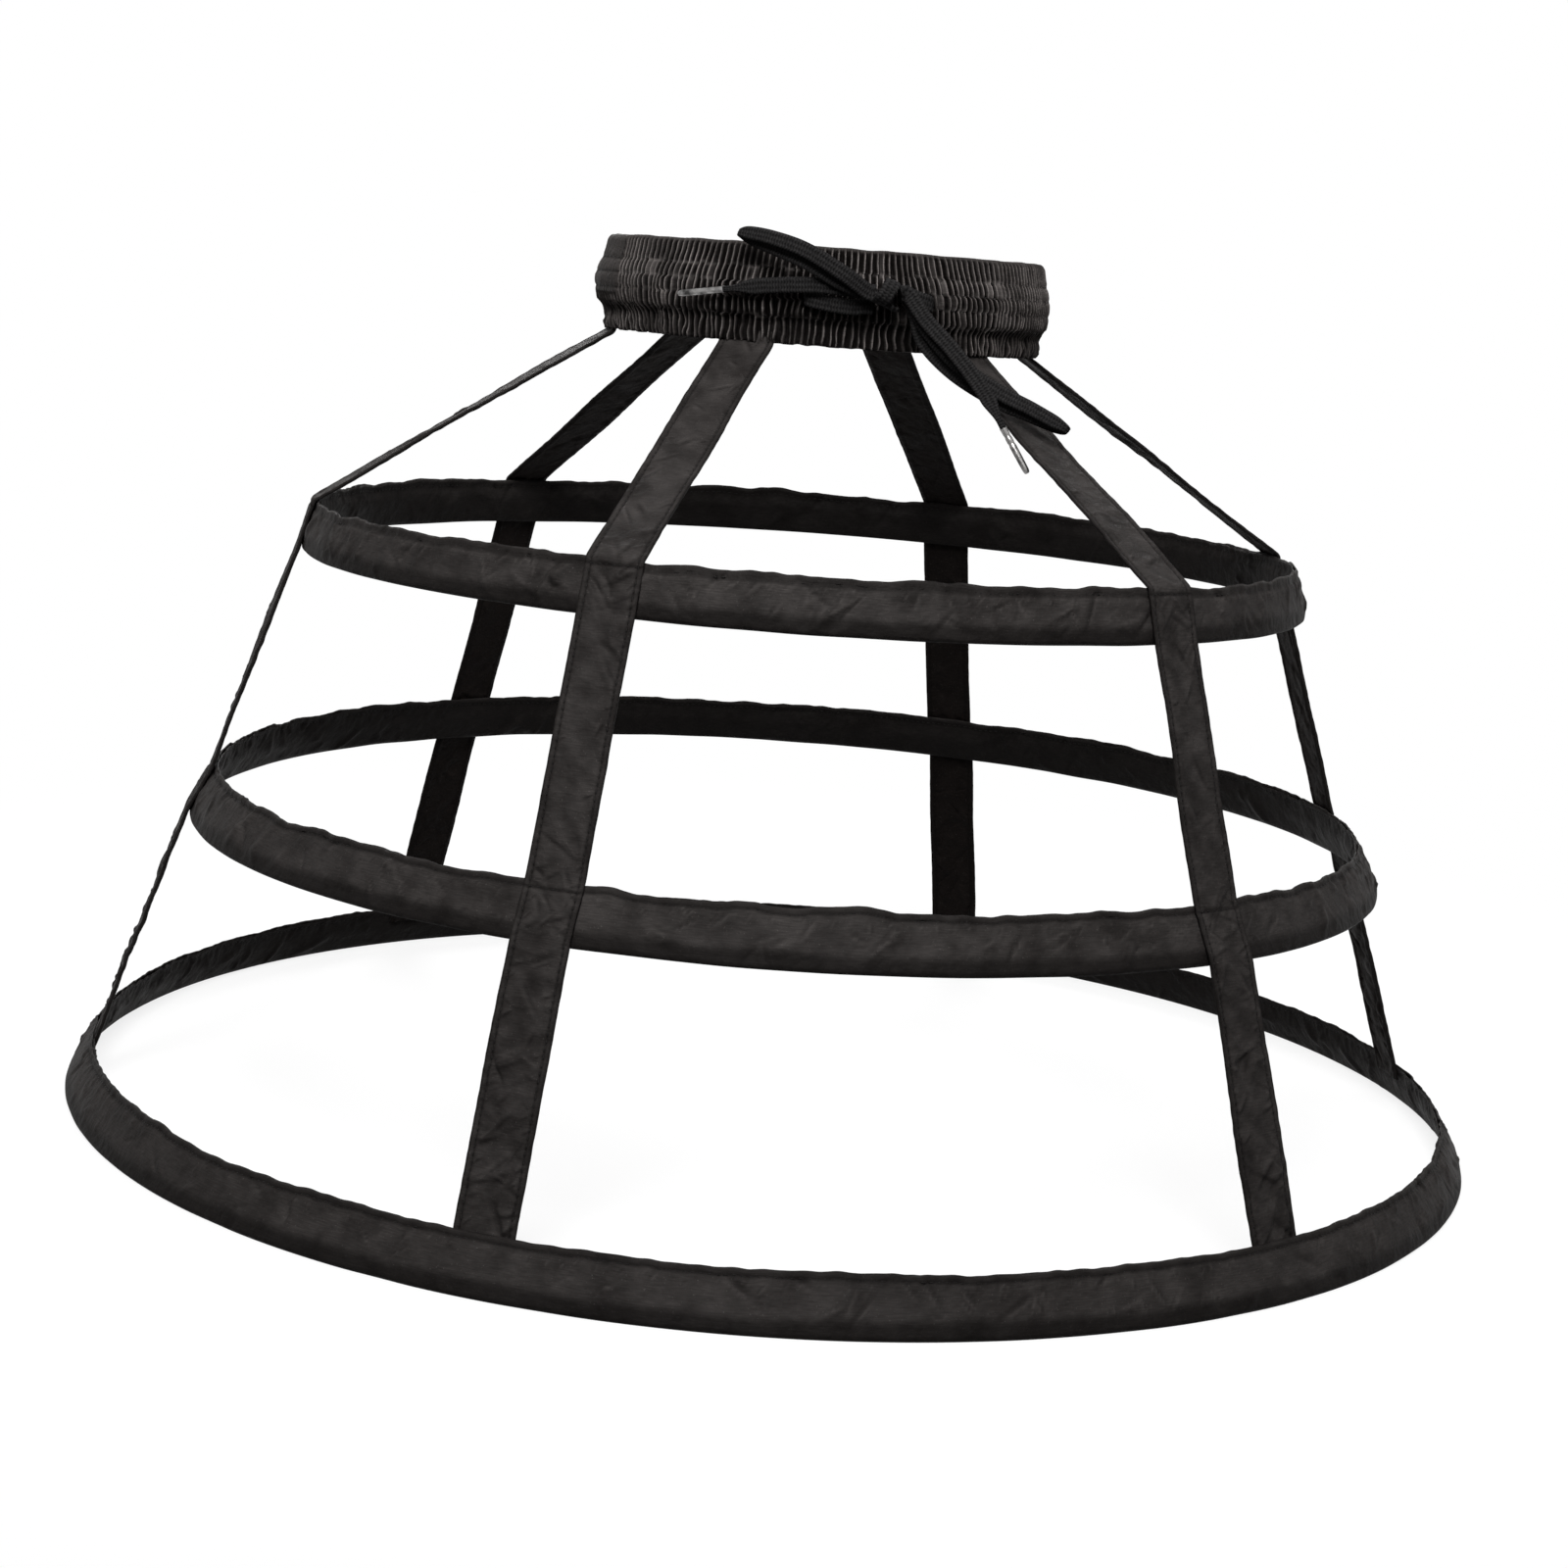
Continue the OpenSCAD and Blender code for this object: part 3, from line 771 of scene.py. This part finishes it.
def waistband():
    """The gathered outer cloth, kept clear of the elastic and of the drawstring's channel."""
    rows = band_rows()
    columns = GATHERS * GATHER_COLUMNS

    def place(share_x, share_y):
        column = round(share_x * columns)
        r, z, amount = rows[round(share_y * (len(rows) - 1))]
        gather, part = divmod(column + GATHER_COLUMNS // 2, GATHER_COLUMNS)
        gather %= GATHERS
        turn = TURN * (column / columns - 0.5)
        channel = sum(z > row for row in STITCH_ROWS)
        angle = turn + gather_slip(turn, z, channel) * TURN / GATHERS
        frill = 1 - ease(FRILL_TOP - 2.0, FRILL_TOP + 1.0, z)
        patch = patch_share(turn, z)
        deep = gather_depth(gather, z, channel, frill, patch)
        fold = (0.5 - 0.5 * math.cos(TURN * part / GATHER_COLUMNS)) ** 1.15
        swell = gather_swell(gather, turn, z, channel, frill, patch)
        r += amount * (swell - GATHER_DEPTH * deep * (1 - fold))
        if amount == 1:
            r = max(r, CHANNEL_R if CHANNEL[0] < z < CHANNEL[1] else ELASTIC_R)
        z += 1.5 * amount * (1 - ease(349, 354, z)) * max(-0.1, ring_ripple(59, turn, 130))
        z += 0.4 * ease(384, 388, z) * ring_ripple(61, turn, 60)
        slot, rim = buttonholes(angle, z)
        r += amount * (0.5 * rim - 3.4 * slot)
        crest = abs(2 * part / GATHER_COLUMNS - 1)
        # Painted shade darkens the gathers' valleys, leaving the crests' painted highlight.
        valley = amount * min(1.0, 1.25 * deep) * ease(0.0, 0.33, crest)
        # Painted shade also darkens the fold over the top and the buttonhole slots, and the crests get
        # painted shade with random blotches of tone.
        shade = max(valley, gather_shade_and_blotch(gather, z), 0.8 * ease(386.5, 388.0, z), slot)
        # On the flat patch a shade of 0.82 brings the highlighted colour down to about the cloth's own, with
        # painted shade along the stitch rows.
        if patch > 0.5:
            shade = 0.82 + 0.16 * at_rows(z, 0.5)
        # Rows without full gathers, at the hem and over the top fold, keep at least a shade of 0.55.
        out, _ = facing(angle)
        return out * r + UP * z, max(shade, 0.55 * (1 - ease(0.0, 1.0, amount)))

    bm = cloth_strip(columns, len(rows) - 1, BAND_FLAT, place, True)
    piece = keep_piece(bm, "waistband", HIGHLIGHTED_GATHERS, ["waistband_casing"])


def waist_lining():
    """The inner half of the waistband, softly gathered against the body."""
    outline = [(92.55, 387.6), (92.3, 386.6)] + [(92.2, 385 - 3.0 * k) for k in range(12)]
    outline += [(92.25, 349.2), (92.5, 348.3), (92.95, 348.05), (93.3, 348.5), (93.4, 350.5), (93.4, 352.9)]
    section = Outline([(r, z, 0) for r, z in outline])

    def place(share_x, share_y):
        turn = TURN * (share_x - 0.5)
        p = section.at(share_y)
        open_wall = ease(0.03, 0.12, share_y) * (1 - ease(0.8, 0.88, share_y))
        fold = 0.42 * ring_ripple(71, turn, 230, p.y * 0.03) + 0.2 * ring_ripple(73, turn, 420, p.y * 0.06)
        inward = open_wall * (0.3 + fold) * (1 - 0.7 * at_rows(p.y, 1.2))
        out, _ = facing(turn)
        # A shade of 0.8 brings the gathers' highlighted colour down to about the cloth's own.
        return out * (p.x - inward) + UP * p.y, 0.8

    bm = cloth_strip(LINING_COLUMNS, LINING_ROWS, LINING_FLAT, place, True)
    piece = keep_piece(bm, "waistband_lining", HIGHLIGHTED_GATHERS)


def band_stitches():
    """Stitches that hold the gathers, one to every second gather, and the outline of the seam patch."""
    places = []
    per_row = GATHERS // 2
    for row in STITCH_ROWS[1:] + (FRILL_TOP,):
        for k in range(per_row):
            turn = TURN * (k + 0.5) / per_row - math.pi
            out, side = facing(turn)
            rise = 0.25 if patch_share(turn, row) > 0.5 else -0.6
            z = row + 0.3 * ripple(81, k * 0.7)
            places.append((out * (band_crest(row) + rise) + UP * z, side, out))
    for k in range(9):
        for edge in (-1, 1):
            out, _ = facing(PATCH_TURN + edge * (PATCH_HALF - 2.0) / WAIST_R)
            z = 365.5 + 2.55 * k
            places.append((out * (band_crest(z) + 0.25) + UP * z, UP, out))
    add_stitches("waistband_stitches", places)


waistband()
waist_lining()
band_stitches()


# Hoop casings: a strip folded over the bone, its two edges turned in and sewn together along the top

CASING_STEP = 1.2
CASING_ROWS = 40
SEAM_DROP = 3.1
CREASES_PER_HOOP = {"upper": 170, "middle": 190, "lower": 170}
BROAD_CREASES = 30
CASING_TUCKS = 9.0
CASING_STITCH = 3.1
FOLD_SHARE = 0.46
# Up a casing's lean, where the bone lies, and how far out the cloth stays there
BONE_LOW = -1.0
BONE_TOP = 13.0
BONE_SIDE = 1.45


def on_hoop(hoop, n, a):
    """Radius and height of a point given outwards from, and up the lean of, a casing."""
    lean = hoop["lean"]
    r = hoop["r"] - CASING_R + n * math.cos(lean) - a * math.sin(lean)
    return r, hoop["z"] + CASING_R + n * math.sin(lean) + a * math.cos(lean)


def nearest_tape(turn):
    """How far along the hoop, as a turn, the nearest tape is."""
    return min(abs((turn - math.radians(t) + math.pi) % TURN - math.pi) for t in TAPES.values())


def casing_outline(top):
    """A casing's section, outwards and up its lean: down the back, round the foot and up the face."""
    seam = top - SEAM_DROP
    back = [(0.95, top - 2.5), (0.85, top - 1.0), (0.6, top - 0.15), (0.2, top - 0.3), (0.05, top - 1.1),
            (0.3, seam), (-0.15, seam - 1.7), (-1.0, 14.4), (-1.8, 12.2), (-1.98, 9.5), (-2.0, 5.0),
            (-1.98, 0.6), (-1.6, -1.0), (-0.8, -1.88)]
    face = [(-0.2, -1.98), (0.7, -1.8), (1.3, -1.3), (1.55, -0.5), (1.65, 0.6), (1.85, 2.6), (2.25, 4.6),
            (2.4, 5.6), (2.3, 7.5), (2.15, 11.0), (2.1, 14.5), (2.0, seam - 1.4), (1.35, seam),
            (1.95, seam + 1.2), (1.85, top - 0.6), (1.4, top), (1.1, top - 0.4), (1.05, top - 1.5),
            (1.0, top - 2.5)]
    return Outline([(n, a, 0) for n, a in back + face])


def casing_point(hoop, creases, turn, n, a, outside):
    """A point of a casing's cloth, puckered, creased and clear of the bone, and its creases' painted shade
    and highlight.
    """
    def swell(seed, length, y=0.0):
        return ring_ripple(hoop["seed"] + seed, turn, TURN * hoop["r"] / length, y)

    seam = hoop["width"] - CASING_R - SEAM_DROP
    held = bell(nearest_tape(turn) * hoop["r"], 15.0)
    free = 1 - 0.75 * held
    wave = swell(100, 60) + 0.45 * swell(110, 6)
    wave += hoop["loose"] * (4.0 * max(0.0, swell(105, 32) - 0.3) + 1.5 * swell(106, 18))
    a += ease(11.0, 20.0, a) * free * wave
    a += 0.5 * (1 - ease(-2.0, 4.0, a)) * ease(-3.0, -1.0, a) * swell(115, 30)
    side = 1 if outside else -1
    near_seam = bell(a - seam, 4.5)
    rise = 0.4 * swell(120, 40, a * 0.05) + 0.25 * swell(145, 11, a * 0.16)
    rise += near_seam * (0.55 * swell(130, 4.6, a * 0.06) + 0.22 * swell(140, 2.6, a * 0.1))
    lift, tone = crease_at(creases, turn * hoop["r"], a)
    n += side * ease(-1.5, 2.5, a) * free * (rise + lift)
    n += 0.6 * swell(150, 22) * ease(15.0, 20.0, a) * free
    if outside:
        n -= 0.35 * held * bell(a - 5.2, 4.0)
    if BONE_LOW < a < BONE_TOP:
        n = side * max(side * n, BONE_SIDE)
    return n, a, free * tone


def add_casing(name):
    """A casing's cloth and its stitches."""
    hoop = HOOPS[name]
    rng = random.Random(hoop["seed"])
    around = TURN * hoop["r"]
    top = hoop["width"] - CASING_R
    seam = top - SEAM_DROP
    section = casing_outline(top)
    reach = around / 2 - STRETCH
    creases = {}
    for outside in (True, False):
        found = make_creases(rng, CREASES_PER_HOOP[name], -reach, reach, 1.0, top - 3)
        found += make_creases(rng, BROAD_CREASES, -reach, reach, 4.0, top - 5, 1.7)
        found += make_tucks(rng, -reach, reach, CASING_TUCKS, seam - 1, -1)
        creases[outside] = by_stretch(found)

    def place(share_x, share_y):
        turn = TURN * (share_x - 0.5)
        p = section.at(share_y)
        outside = share_y > FOLD_SHARE
        n, a, tone = casing_point(hoop, creases[outside], turn, p.x, p.y, outside)
        r, z = on_hoop(hoop, n, a)
        out, _ = facing(turn)
        # Painted shade: the casing's inner side, the lip above the seam, the seam's groove and the foot where
        # the cloth turns under are darkened; creases add painted shade in folds and a painted highlight on
        # ridges.
        inside = 0.66 * (1 - ease(FOLD_SHARE - 0.02, FOLD_SHARE + 0.05, share_y))
        lip = 0.4 * ease(seam, seam + 1.2, p.y)
        seam_line = 0.85 * bell(p.y - seam, 0.75)
        turned = p.y + 1.1 * ring_ripple(hoop["seed"] + 160, turn, around / 25)
        shade = max(inside, lip, seam_line, 0.68 * (1 - ease(2.4, 6.4, turned)))
        return out * r + UP * max(z, 0.05), shade + 0.7 * (1 - shade) * tone

    flat = (around * MM, section.length * MM)
    bm = cloth_strip(round(around / CASING_STEP), CASING_ROWS, flat, place, True)
    piece = keep_piece(bm, f"casing_{name}", CLOTH, [f"hoop_casing_{name}"])
    casing_stitches(name, hoop, around, seam)


def casing_stitches(name, hoop, around, seam):
    """The row of stitches that closes a casing, on its face and on its back."""
    places = []
    count = int(around / CASING_STITCH)
    for k in range(count):
        turn = TURN * (k / count - 0.5)
        covered = nearest_tape(turn) * hoop["r"] < TAPE_W / 2 + 0.5
        for outside, n in ((True, 1.5), (False, 0.18)):
            if covered and outside and name != "lower":
                continue
            n_at, a_at, _ = casing_point(hoop, {}, turn, n, seam, outside)
            r, z = on_hoop(hoop, n_at, a_at)
            out, side = facing(turn)
            face = out * math.cos(hoop["lean"]) + UP * math.sin(hoop["lean"])
            places.append((out * r + UP * z, side, face if outside else -face))
    add_stitches(f"casing_{name}_stitches", places)


for hoop_name in HOOPS:
    add_casing(hoop_name)


# Tapes: doubled cloth from the waistband's hem, over two hoops and in behind the third

TAPE_COLUMNS = 42
TAPE_STEP = 0.7
EDGE_STITCH = 10.0
FIRST_STITCH = 6.5
STITCH_STEP = 3.0
STITCH_LIFT = 0.06
SEAM_STITCHES = 7
SEAM_BELOW = 2.6
CREASE_LIMIT = 0.9
# Corners of a tape's line, from the waistband down
HEM, UPPER_TOP, UPPER_FOOT, MIDDLE_TOP, MIDDLE_FOOT, TUCK = range(1, 7)
FREE_STRETCHES = ((HEM, UPPER_TOP), (UPPER_FOOT, MIDDLE_TOP), (MIDDLE_FOOT, TUCK))
TUCK_GAPS = {HEM: 20.0, UPPER_TOP: 6.0, UPPER_FOOT: 15.0, MIDDLE_TOP: 6.0, MIDDLE_FOOT: 8.0}


def left_of(d):
    return Vector((-d.y, d.x))


def hoop_corner(at, n1, n2, distance):
    return at + distance * (n1 + n2) / (1 + n1.dot(n2))


def tape_line():
    """A tape's middle line beside the axis, with rounded corners, and how far along it each corner is."""
    edge = {}
    foot = {}
    way = {}
    for name, hoop in HOOPS.items():
        edge[name] = Vector(on_hoop(hoop, CASING_R - EDGE_R, hoop["width"] - CASING_R - EDGE_R))
        foot[name] = Vector(on_hoop(hoop, 0, 0))
        way[name] = Vector((math.cos(hoop["lean"]), math.sin(hoop["lean"])))
    inner_top = Vector((CASING_R - 2 * EDGE_R, HOOPS["lower"]["width"] - CASING_R - EDGE_R))
    taper = (Vector((-CASING_R, SHOULDER_A)) - inner_top).normalized()
    tuck = inner_top - TAPE_SEAT * left_of(taper)
    tuck_end = tuck + TAPE_TUCK * taper
    hem = Vector((HEM_R, WAIST_LOW - 0.6))
    tuck_at = Vector(on_hoop(HOOPS["lower"], tuck.x, tuck.y))
    slope_1 = left_of((edge["upper"] - hem).normalized())
    slope_2 = left_of((edge["middle"] - foot["upper"]).normalized())
    slope_3 = left_of((tuck_at - foot["middle"]).normalized())
    line = [
        Vector((HEM_R, HEM_TOP - 0.2)),
        hem,
        hoop_corner(edge["upper"], slope_1, way["upper"], EDGE_R + TAPE_SEAT),
        hoop_corner(foot["upper"], way["upper"], slope_2, CASING_R + TAPE_SEAT),
        hoop_corner(edge["middle"], slope_2, way["middle"], EDGE_R + TAPE_SEAT),
        hoop_corner(foot["middle"], way["middle"], slope_3, CASING_R + TAPE_SEAT),
        tuck_at,
        Vector(on_hoop(HOOPS["lower"], tuck_end.x, tuck_end.y)),
    ]
    fine = spaced([p.to_3d() for p in line], TAPE_STEP)
    for _ in range(4):
        fine = fine[:1] + [(a + 2 * b + c) / 4 for a, b, c in zip(fine, fine[1:], fine[2:])] + fine[-1:]
    return [p.to_2d() for p in fine], distances(line)


TAPE_LINE, TAPE_RUNS = tape_line()
TAPE_LENGTH = TAPE_RUNS[-1]
SEAM_RUNS = (TAPE_RUNS[UPPER_TOP] + SEAM_BELOW, TAPE_RUNS[MIDDLE_TOP] + SEAM_BELOW)


def tape_frame(run):
    """Point and outward direction of the tape's middle line at a distance along it."""
    last = len(TAPE_LINE) - 1
    place = min(max(run / TAPE_LENGTH, 0.0), 1.0) * last
    k = min(int(place), last - 1)
    at = TAPE_LINE[k].lerp(TAPE_LINE[k + 1], place - k)
    along = (TAPE_LINE[min(k + 2, last)] - TAPE_LINE[max(k - 1, 0)]).normalized()
    return at, left_of(along)


def tape_slack(run):
    """One in the middle of a free stretch and zero where the tape is sewn down."""
    slack = 0.0
    for low, high in FREE_STRETCHES:
        t = (run - TAPE_RUNS[low]) / (TAPE_RUNS[high] - TAPE_RUNS[low])
        if 0 < t < 1:
            slack = math.sin(math.pi * t) ** 0.7
    return slack


def lower_share(run):
    """Zero on a tape's upper part and one at its foot, where it is more creased."""
    return ease(TAPE_RUNS[MIDDLE_TOP] - 30, TAPE_RUNS[TUCK], run)


def tape_rise(seed, creases, run, w):
    """How far a tape's outer face stands out at a point, and its creases' painted shade and highlight."""
    slack = tape_slack(run)
    lower = lower_share(run)
    edge = abs(w)
    middle = 1 - 0.85 * ease(7.5, 11.5, edge)
    rise = slack * (0.9 * ripple(seed, run / 48) + 0.8 * ripple(seed + 1, run / 60) * w / 10)
    facet = 0.45 - abs(ripple(seed + 7, run / 10 + w / 15, w / 11))
    rise += (0.3 + 0.7 * slack) * (0.5 + 0.7 * lower) * 1.4 * facet * middle
    lift, tone = crease_at(creases, run, w)
    lift *= (0.65 + 0.45 * slack) * (0.8 + 0.8 * lower) * middle
    rise += max(CREASE_LIMIT * math.tanh(lift / CREASE_LIMIT), -0.3 - 3.0 * slack)
    margin = ease(EDGE_STITCH - 4.0, EDGE_STITCH + 0.6, edge)
    rise += margin * 0.3 * ripple(seed + 2, run / 4.5, math.copysign(3, w)) * (0.45 + 0.55 * slack)
    rise -= 0.42 * bell(edge - EDGE_STITCH, 0.6)
    rise += 0.2 * ease(EDGE_STITCH + 0.5, EDGE_STITCH + 1.2, edge)
    for seam in SEAM_RUNS:
        rise -= 0.4 * bell(run - seam, 0.8)
        rise += 0.35 * bell(run - seam, 4.0) * ripple(seed + 3, w / 2.6, run * 0.1)
    return rise, tone


def drawn_aside(seed, run, w):
    """Where a point across a tape is once the edges are drawn in unevenly and the tape strays."""
    lower = lower_share(run)
    edge_row = math.copysign(5, w)
    drawn = ripple(seed + 4, run / 17, edge_row) + 0.5 * ripple(seed + 5, run / 6, edge_row)
    wide = w * (0.985 + 0.045 * lower + (0.011 + 0.007 * lower) * drawn)
    return wide + tape_slack(run) * 0.7 * ripple(seed + 6, run / 70)


def tape_point(angle, seed, creases, run, w):
    """A point on a tape's outer face, the way it faces, and its creases' painted shade and highlight."""
    at, out_way = tape_frame(run)
    rise, tone = tape_rise(seed, creases, run, w)
    out, side = facing(angle)
    face = out * out_way.x + UP * out_way.y
    middle = out * at.x + UP * at.y
    return middle + side * drawn_aside(seed, run, w) + face * (TAPE_T / 2 + rise), face, tone


def tape_creases(seed):
    """Creases of one tape, more of them at the seams, with tucks along both rows of stitches."""
    rng = random.Random(seed)
    upper = (0.0, TAPE_RUNS[MIDDLE_TOP])
    lower = (TAPE_RUNS[MIDDLE_TOP], TAPE_LENGTH)
    found = []
    for count, stretch, aside, scale in ((13, upper, 10.0, 1.3), (18, lower, 10.0, 1.3),
                                         (7, lower, 8.0, 1.8), (7, upper, 8.0, 1.6)):
        found += make_creases(rng, count, *stretch, -aside, aside, scale)
    for seam in SEAM_RUNS:
        found += make_creases(rng, 11, seam - 9, seam + 18, -10.0, 10.0, 1.25)
    for side in (-1, 1):
        for corner, gap in TUCK_GAPS.items():
            start, end = TAPE_RUNS[corner:corner + 2]
            found += make_tucks(rng, start, end, gap, side * (EDGE_STITCH - 0.5), -side)
    return by_stretch(found)


def add_tape(name, degrees, seed):
    """A tape's cloth, pale on its face and darker on its back with painted shade, and its stitches."""
    angle = math.radians(degrees)
    creases = tape_creases(seed)
    flat = (TAPE_W * MM, TAPE_LENGTH * MM)

    def place(share_x, share_y):
        w = TAPE_W * (share_x - 0.5)
        run = TAPE_LENGTH * (1 - share_y)
        point, _, tone = tape_point(angle, seed, creases, run, w)
        # Painted shade: darker along the dashed grooves of the stitch rows, towards the edges, at the seams
        # across the hoops and in soft broad hollows; creases add painted shade in folds and a painted
        # highlight on ridges.
        seams = max(bell(run - seam, 0.7) for seam in SEAM_RUNS)
        edge = abs(w)
        dash = 0.75 + 0.25 * math.cos(TURN * (run - FIRST_STITCH) / STITCH_STEP)
        line = 0.95 * dash * bell(edge - EDGE_STITCH, 0.55)
        margin = 0.12 * ease(EDGE_STITCH, EDGE_STITCH + 0.8, edge) + 0.45 * ease(11.2, 12.0, edge)
        shade = max(line, margin, 0.85 * seams)
        hollow = 0.6 * max(0.0, ripple(seed + 8, run / 9 - w / 13, w / 8) - 0.05)
        soft = max(hollow, tone) + 0.35 * min(tone, 0.0)
        return point, shade + (1 - shade) * soft

    bm = cloth_strip(TAPE_COLUMNS, round(TAPE_LENGTH / TAPE_STEP), flat, place, False)
    piece = keep_piece(bm, f"{name}_cloth", TAPE_FACE, [name])
    piece.data.materials.append(SHADED_TAPE_BACK)
    thick = piece.modifiers.new("thickness", "SOLIDIFY")
    thick.thickness = TAPE_T * MM
    thick.offset = -1
    thick.material_offset = 1
    tape_stitches(name, angle, seed, creases)


def tape_stitches(name, angle, seed, creases):
    """A row of stitches along each edge of a tape, and one across it on each of two hoops."""
    places = []
    half_step = STITCH_STEP / 2
    for k in range(int((TAPE_LENGTH - 14) / STITCH_STEP)):
        run = FIRST_STITCH + STITCH_STEP * k
        for w in (-EDGE_STITCH, EDGE_STITCH):
            at, face, _ = tape_point(angle, seed, creases, run, w)
            ahead, _, _ = tape_point(angle, seed, creases, run + half_step, w)
            behind, _, _ = tape_point(angle, seed, creases, run - half_step, w)
            places.append((at + face * STITCH_LIFT, (ahead - behind).normalized(), face))
    _, side = facing(angle)
    for seam in SEAM_RUNS:
        for k in range(SEAM_STITCHES):
            at, face, _ = tape_point(angle, seed, creases, seam, STITCH_STEP * (k - SEAM_STITCHES // 2))
            places.append((at + face * STITCH_LIFT, side, face))
    add_stitches(f"{name}_stitches", places)


for number, (tape_name, tape_degrees) in enumerate(TAPES.items()):
    add_tape(tape_name, tape_degrees, 200 + 10 * number)


# Pieces inside the cloth keep their solids

inside_finishes = {"waist_elastic": ELASTIC, "drawstring_run": BRAID}
for hoop_name in HOOPS:
    inside_finishes[f"hoop_bone_{hoop_name}"] = BONING
    inside_finishes[f"bone_joiner_{hoop_name}"] = STEEL
for node, finish in inside_finishes.items():
    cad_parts[node].material_slots[0].material = finish


# Floor, light and background

def straight_seen(tree):
    """One where the camera sees a thing, also by way of a shiny or clear surface."""
    rays = add(tree, "LightPath").outputs
    indirect = math_node(tree, "MAXIMUM", rays["Is Glossy Ray"], rays["Is Transmission Ray"])
    return math_node(tree, "MAXIMUM", rays["Is Camera Ray"], indirect)


def add_floor():
    """White paper with a faint shadow near the hoops; it throws little light back up."""
    material = bpy.data.materials.new("floor_paper")
    material.use_nodes = True
    tree = material.node_tree
    tree.nodes.clear()
    grey = add(tree, "BsdfDiffuse", {"Color": (0.06, 0.06, 0.06, 1)})
    white = add(tree, "Emission", {"Color": WHITE, "Strength": 0.82})
    shaded = add(tree, "BsdfDiffuse", {"Color": (0.2, 0.2, 0.2, 1)})
    near = add(tree, "AddShader", {0: white.outputs[0], 1: shaded.outputs[0]})
    far = add(tree, "Emission", {"Color": WHITE, "Strength": 1})
    place = add(tree, "TexCoord")
    away = add(tree, "VectorMath", {0: place.outputs["Object"]}, operation="LENGTH")
    fade = add(tree, "MapRange", {
        "Value": away.outputs["Value"], "From Min": 0.35, "From Max": 0.9,
    }, interpolation_type="SMOOTHSTEP").outputs[0]
    paper = add(tree, "MixShader", {0: fade, 1: near.outputs[0], 2: far.outputs[0]})
    both = add(tree, "MixShader", {0: straight_seen(tree), 1: grey.outputs[0], 2: paper.outputs[0]})
    add(tree, "OutputMaterial", {"Surface": both.outputs[0]})
    bm = bmesh.new()
    bmesh.ops.create_grid(bm, x_segments=2, y_segments=2, size=14)
    mesh = finished_mesh(bm, "floor")
    mesh.materials.append(material)
    in_scene("floor", mesh)


def add_world():
    """A white background that lights the cloth only softly."""
    world = bpy.data.worlds.new("studio")
    scene.world = world
    world.use_nodes = True
    tree = world.node_tree
    tree.nodes.clear()
    soft = add(tree, "Background", {"Color": WHITE, "Strength": 0.11})
    white = add(tree, "Background", {"Color": WHITE, "Strength": 1})
    both = add(tree, "MixShader", {0: straight_seen(tree), 1: soft.outputs[0], 2: white.outputs[0]})
    add(tree, "OutputWorld", {"Surface": both.outputs[0]})


def add_lamp(name, at, target, size, power, fan=180):
    """A square lamp that shines on a target, its light spread over a fan of so many degrees."""
    data = bpy.data.lights.new(name, "AREA")
    data.spread = math.radians(fan)
    data.shape = "SQUARE"
    data.size = size
    data.energy = power
    lamp = in_scene(name, data)
    lamp.location = at
    lamp.rotation_euler = (Vector(target) - Vector(at)).to_track_quat("-Z", "Y").to_euler()


add_floor()
add_world()
add_lamp("key", (-0.3, -1.1, 1.3), (0, -0.1, 0.38), 0.8, 5.6, 70)
add_lamp("top", (0.2, -0.1, 2.4), (0, 0, 0.2), 1.0, 8)
add_lamp("fill", (1.7, -1.5, 1.1), (0, 0, 0.2), 1.4, 0.5)
add_lamp("rear", (0.2, 1.6, 1.2), (0, 0.1, 0.2), 1.0, 8.0, 100)
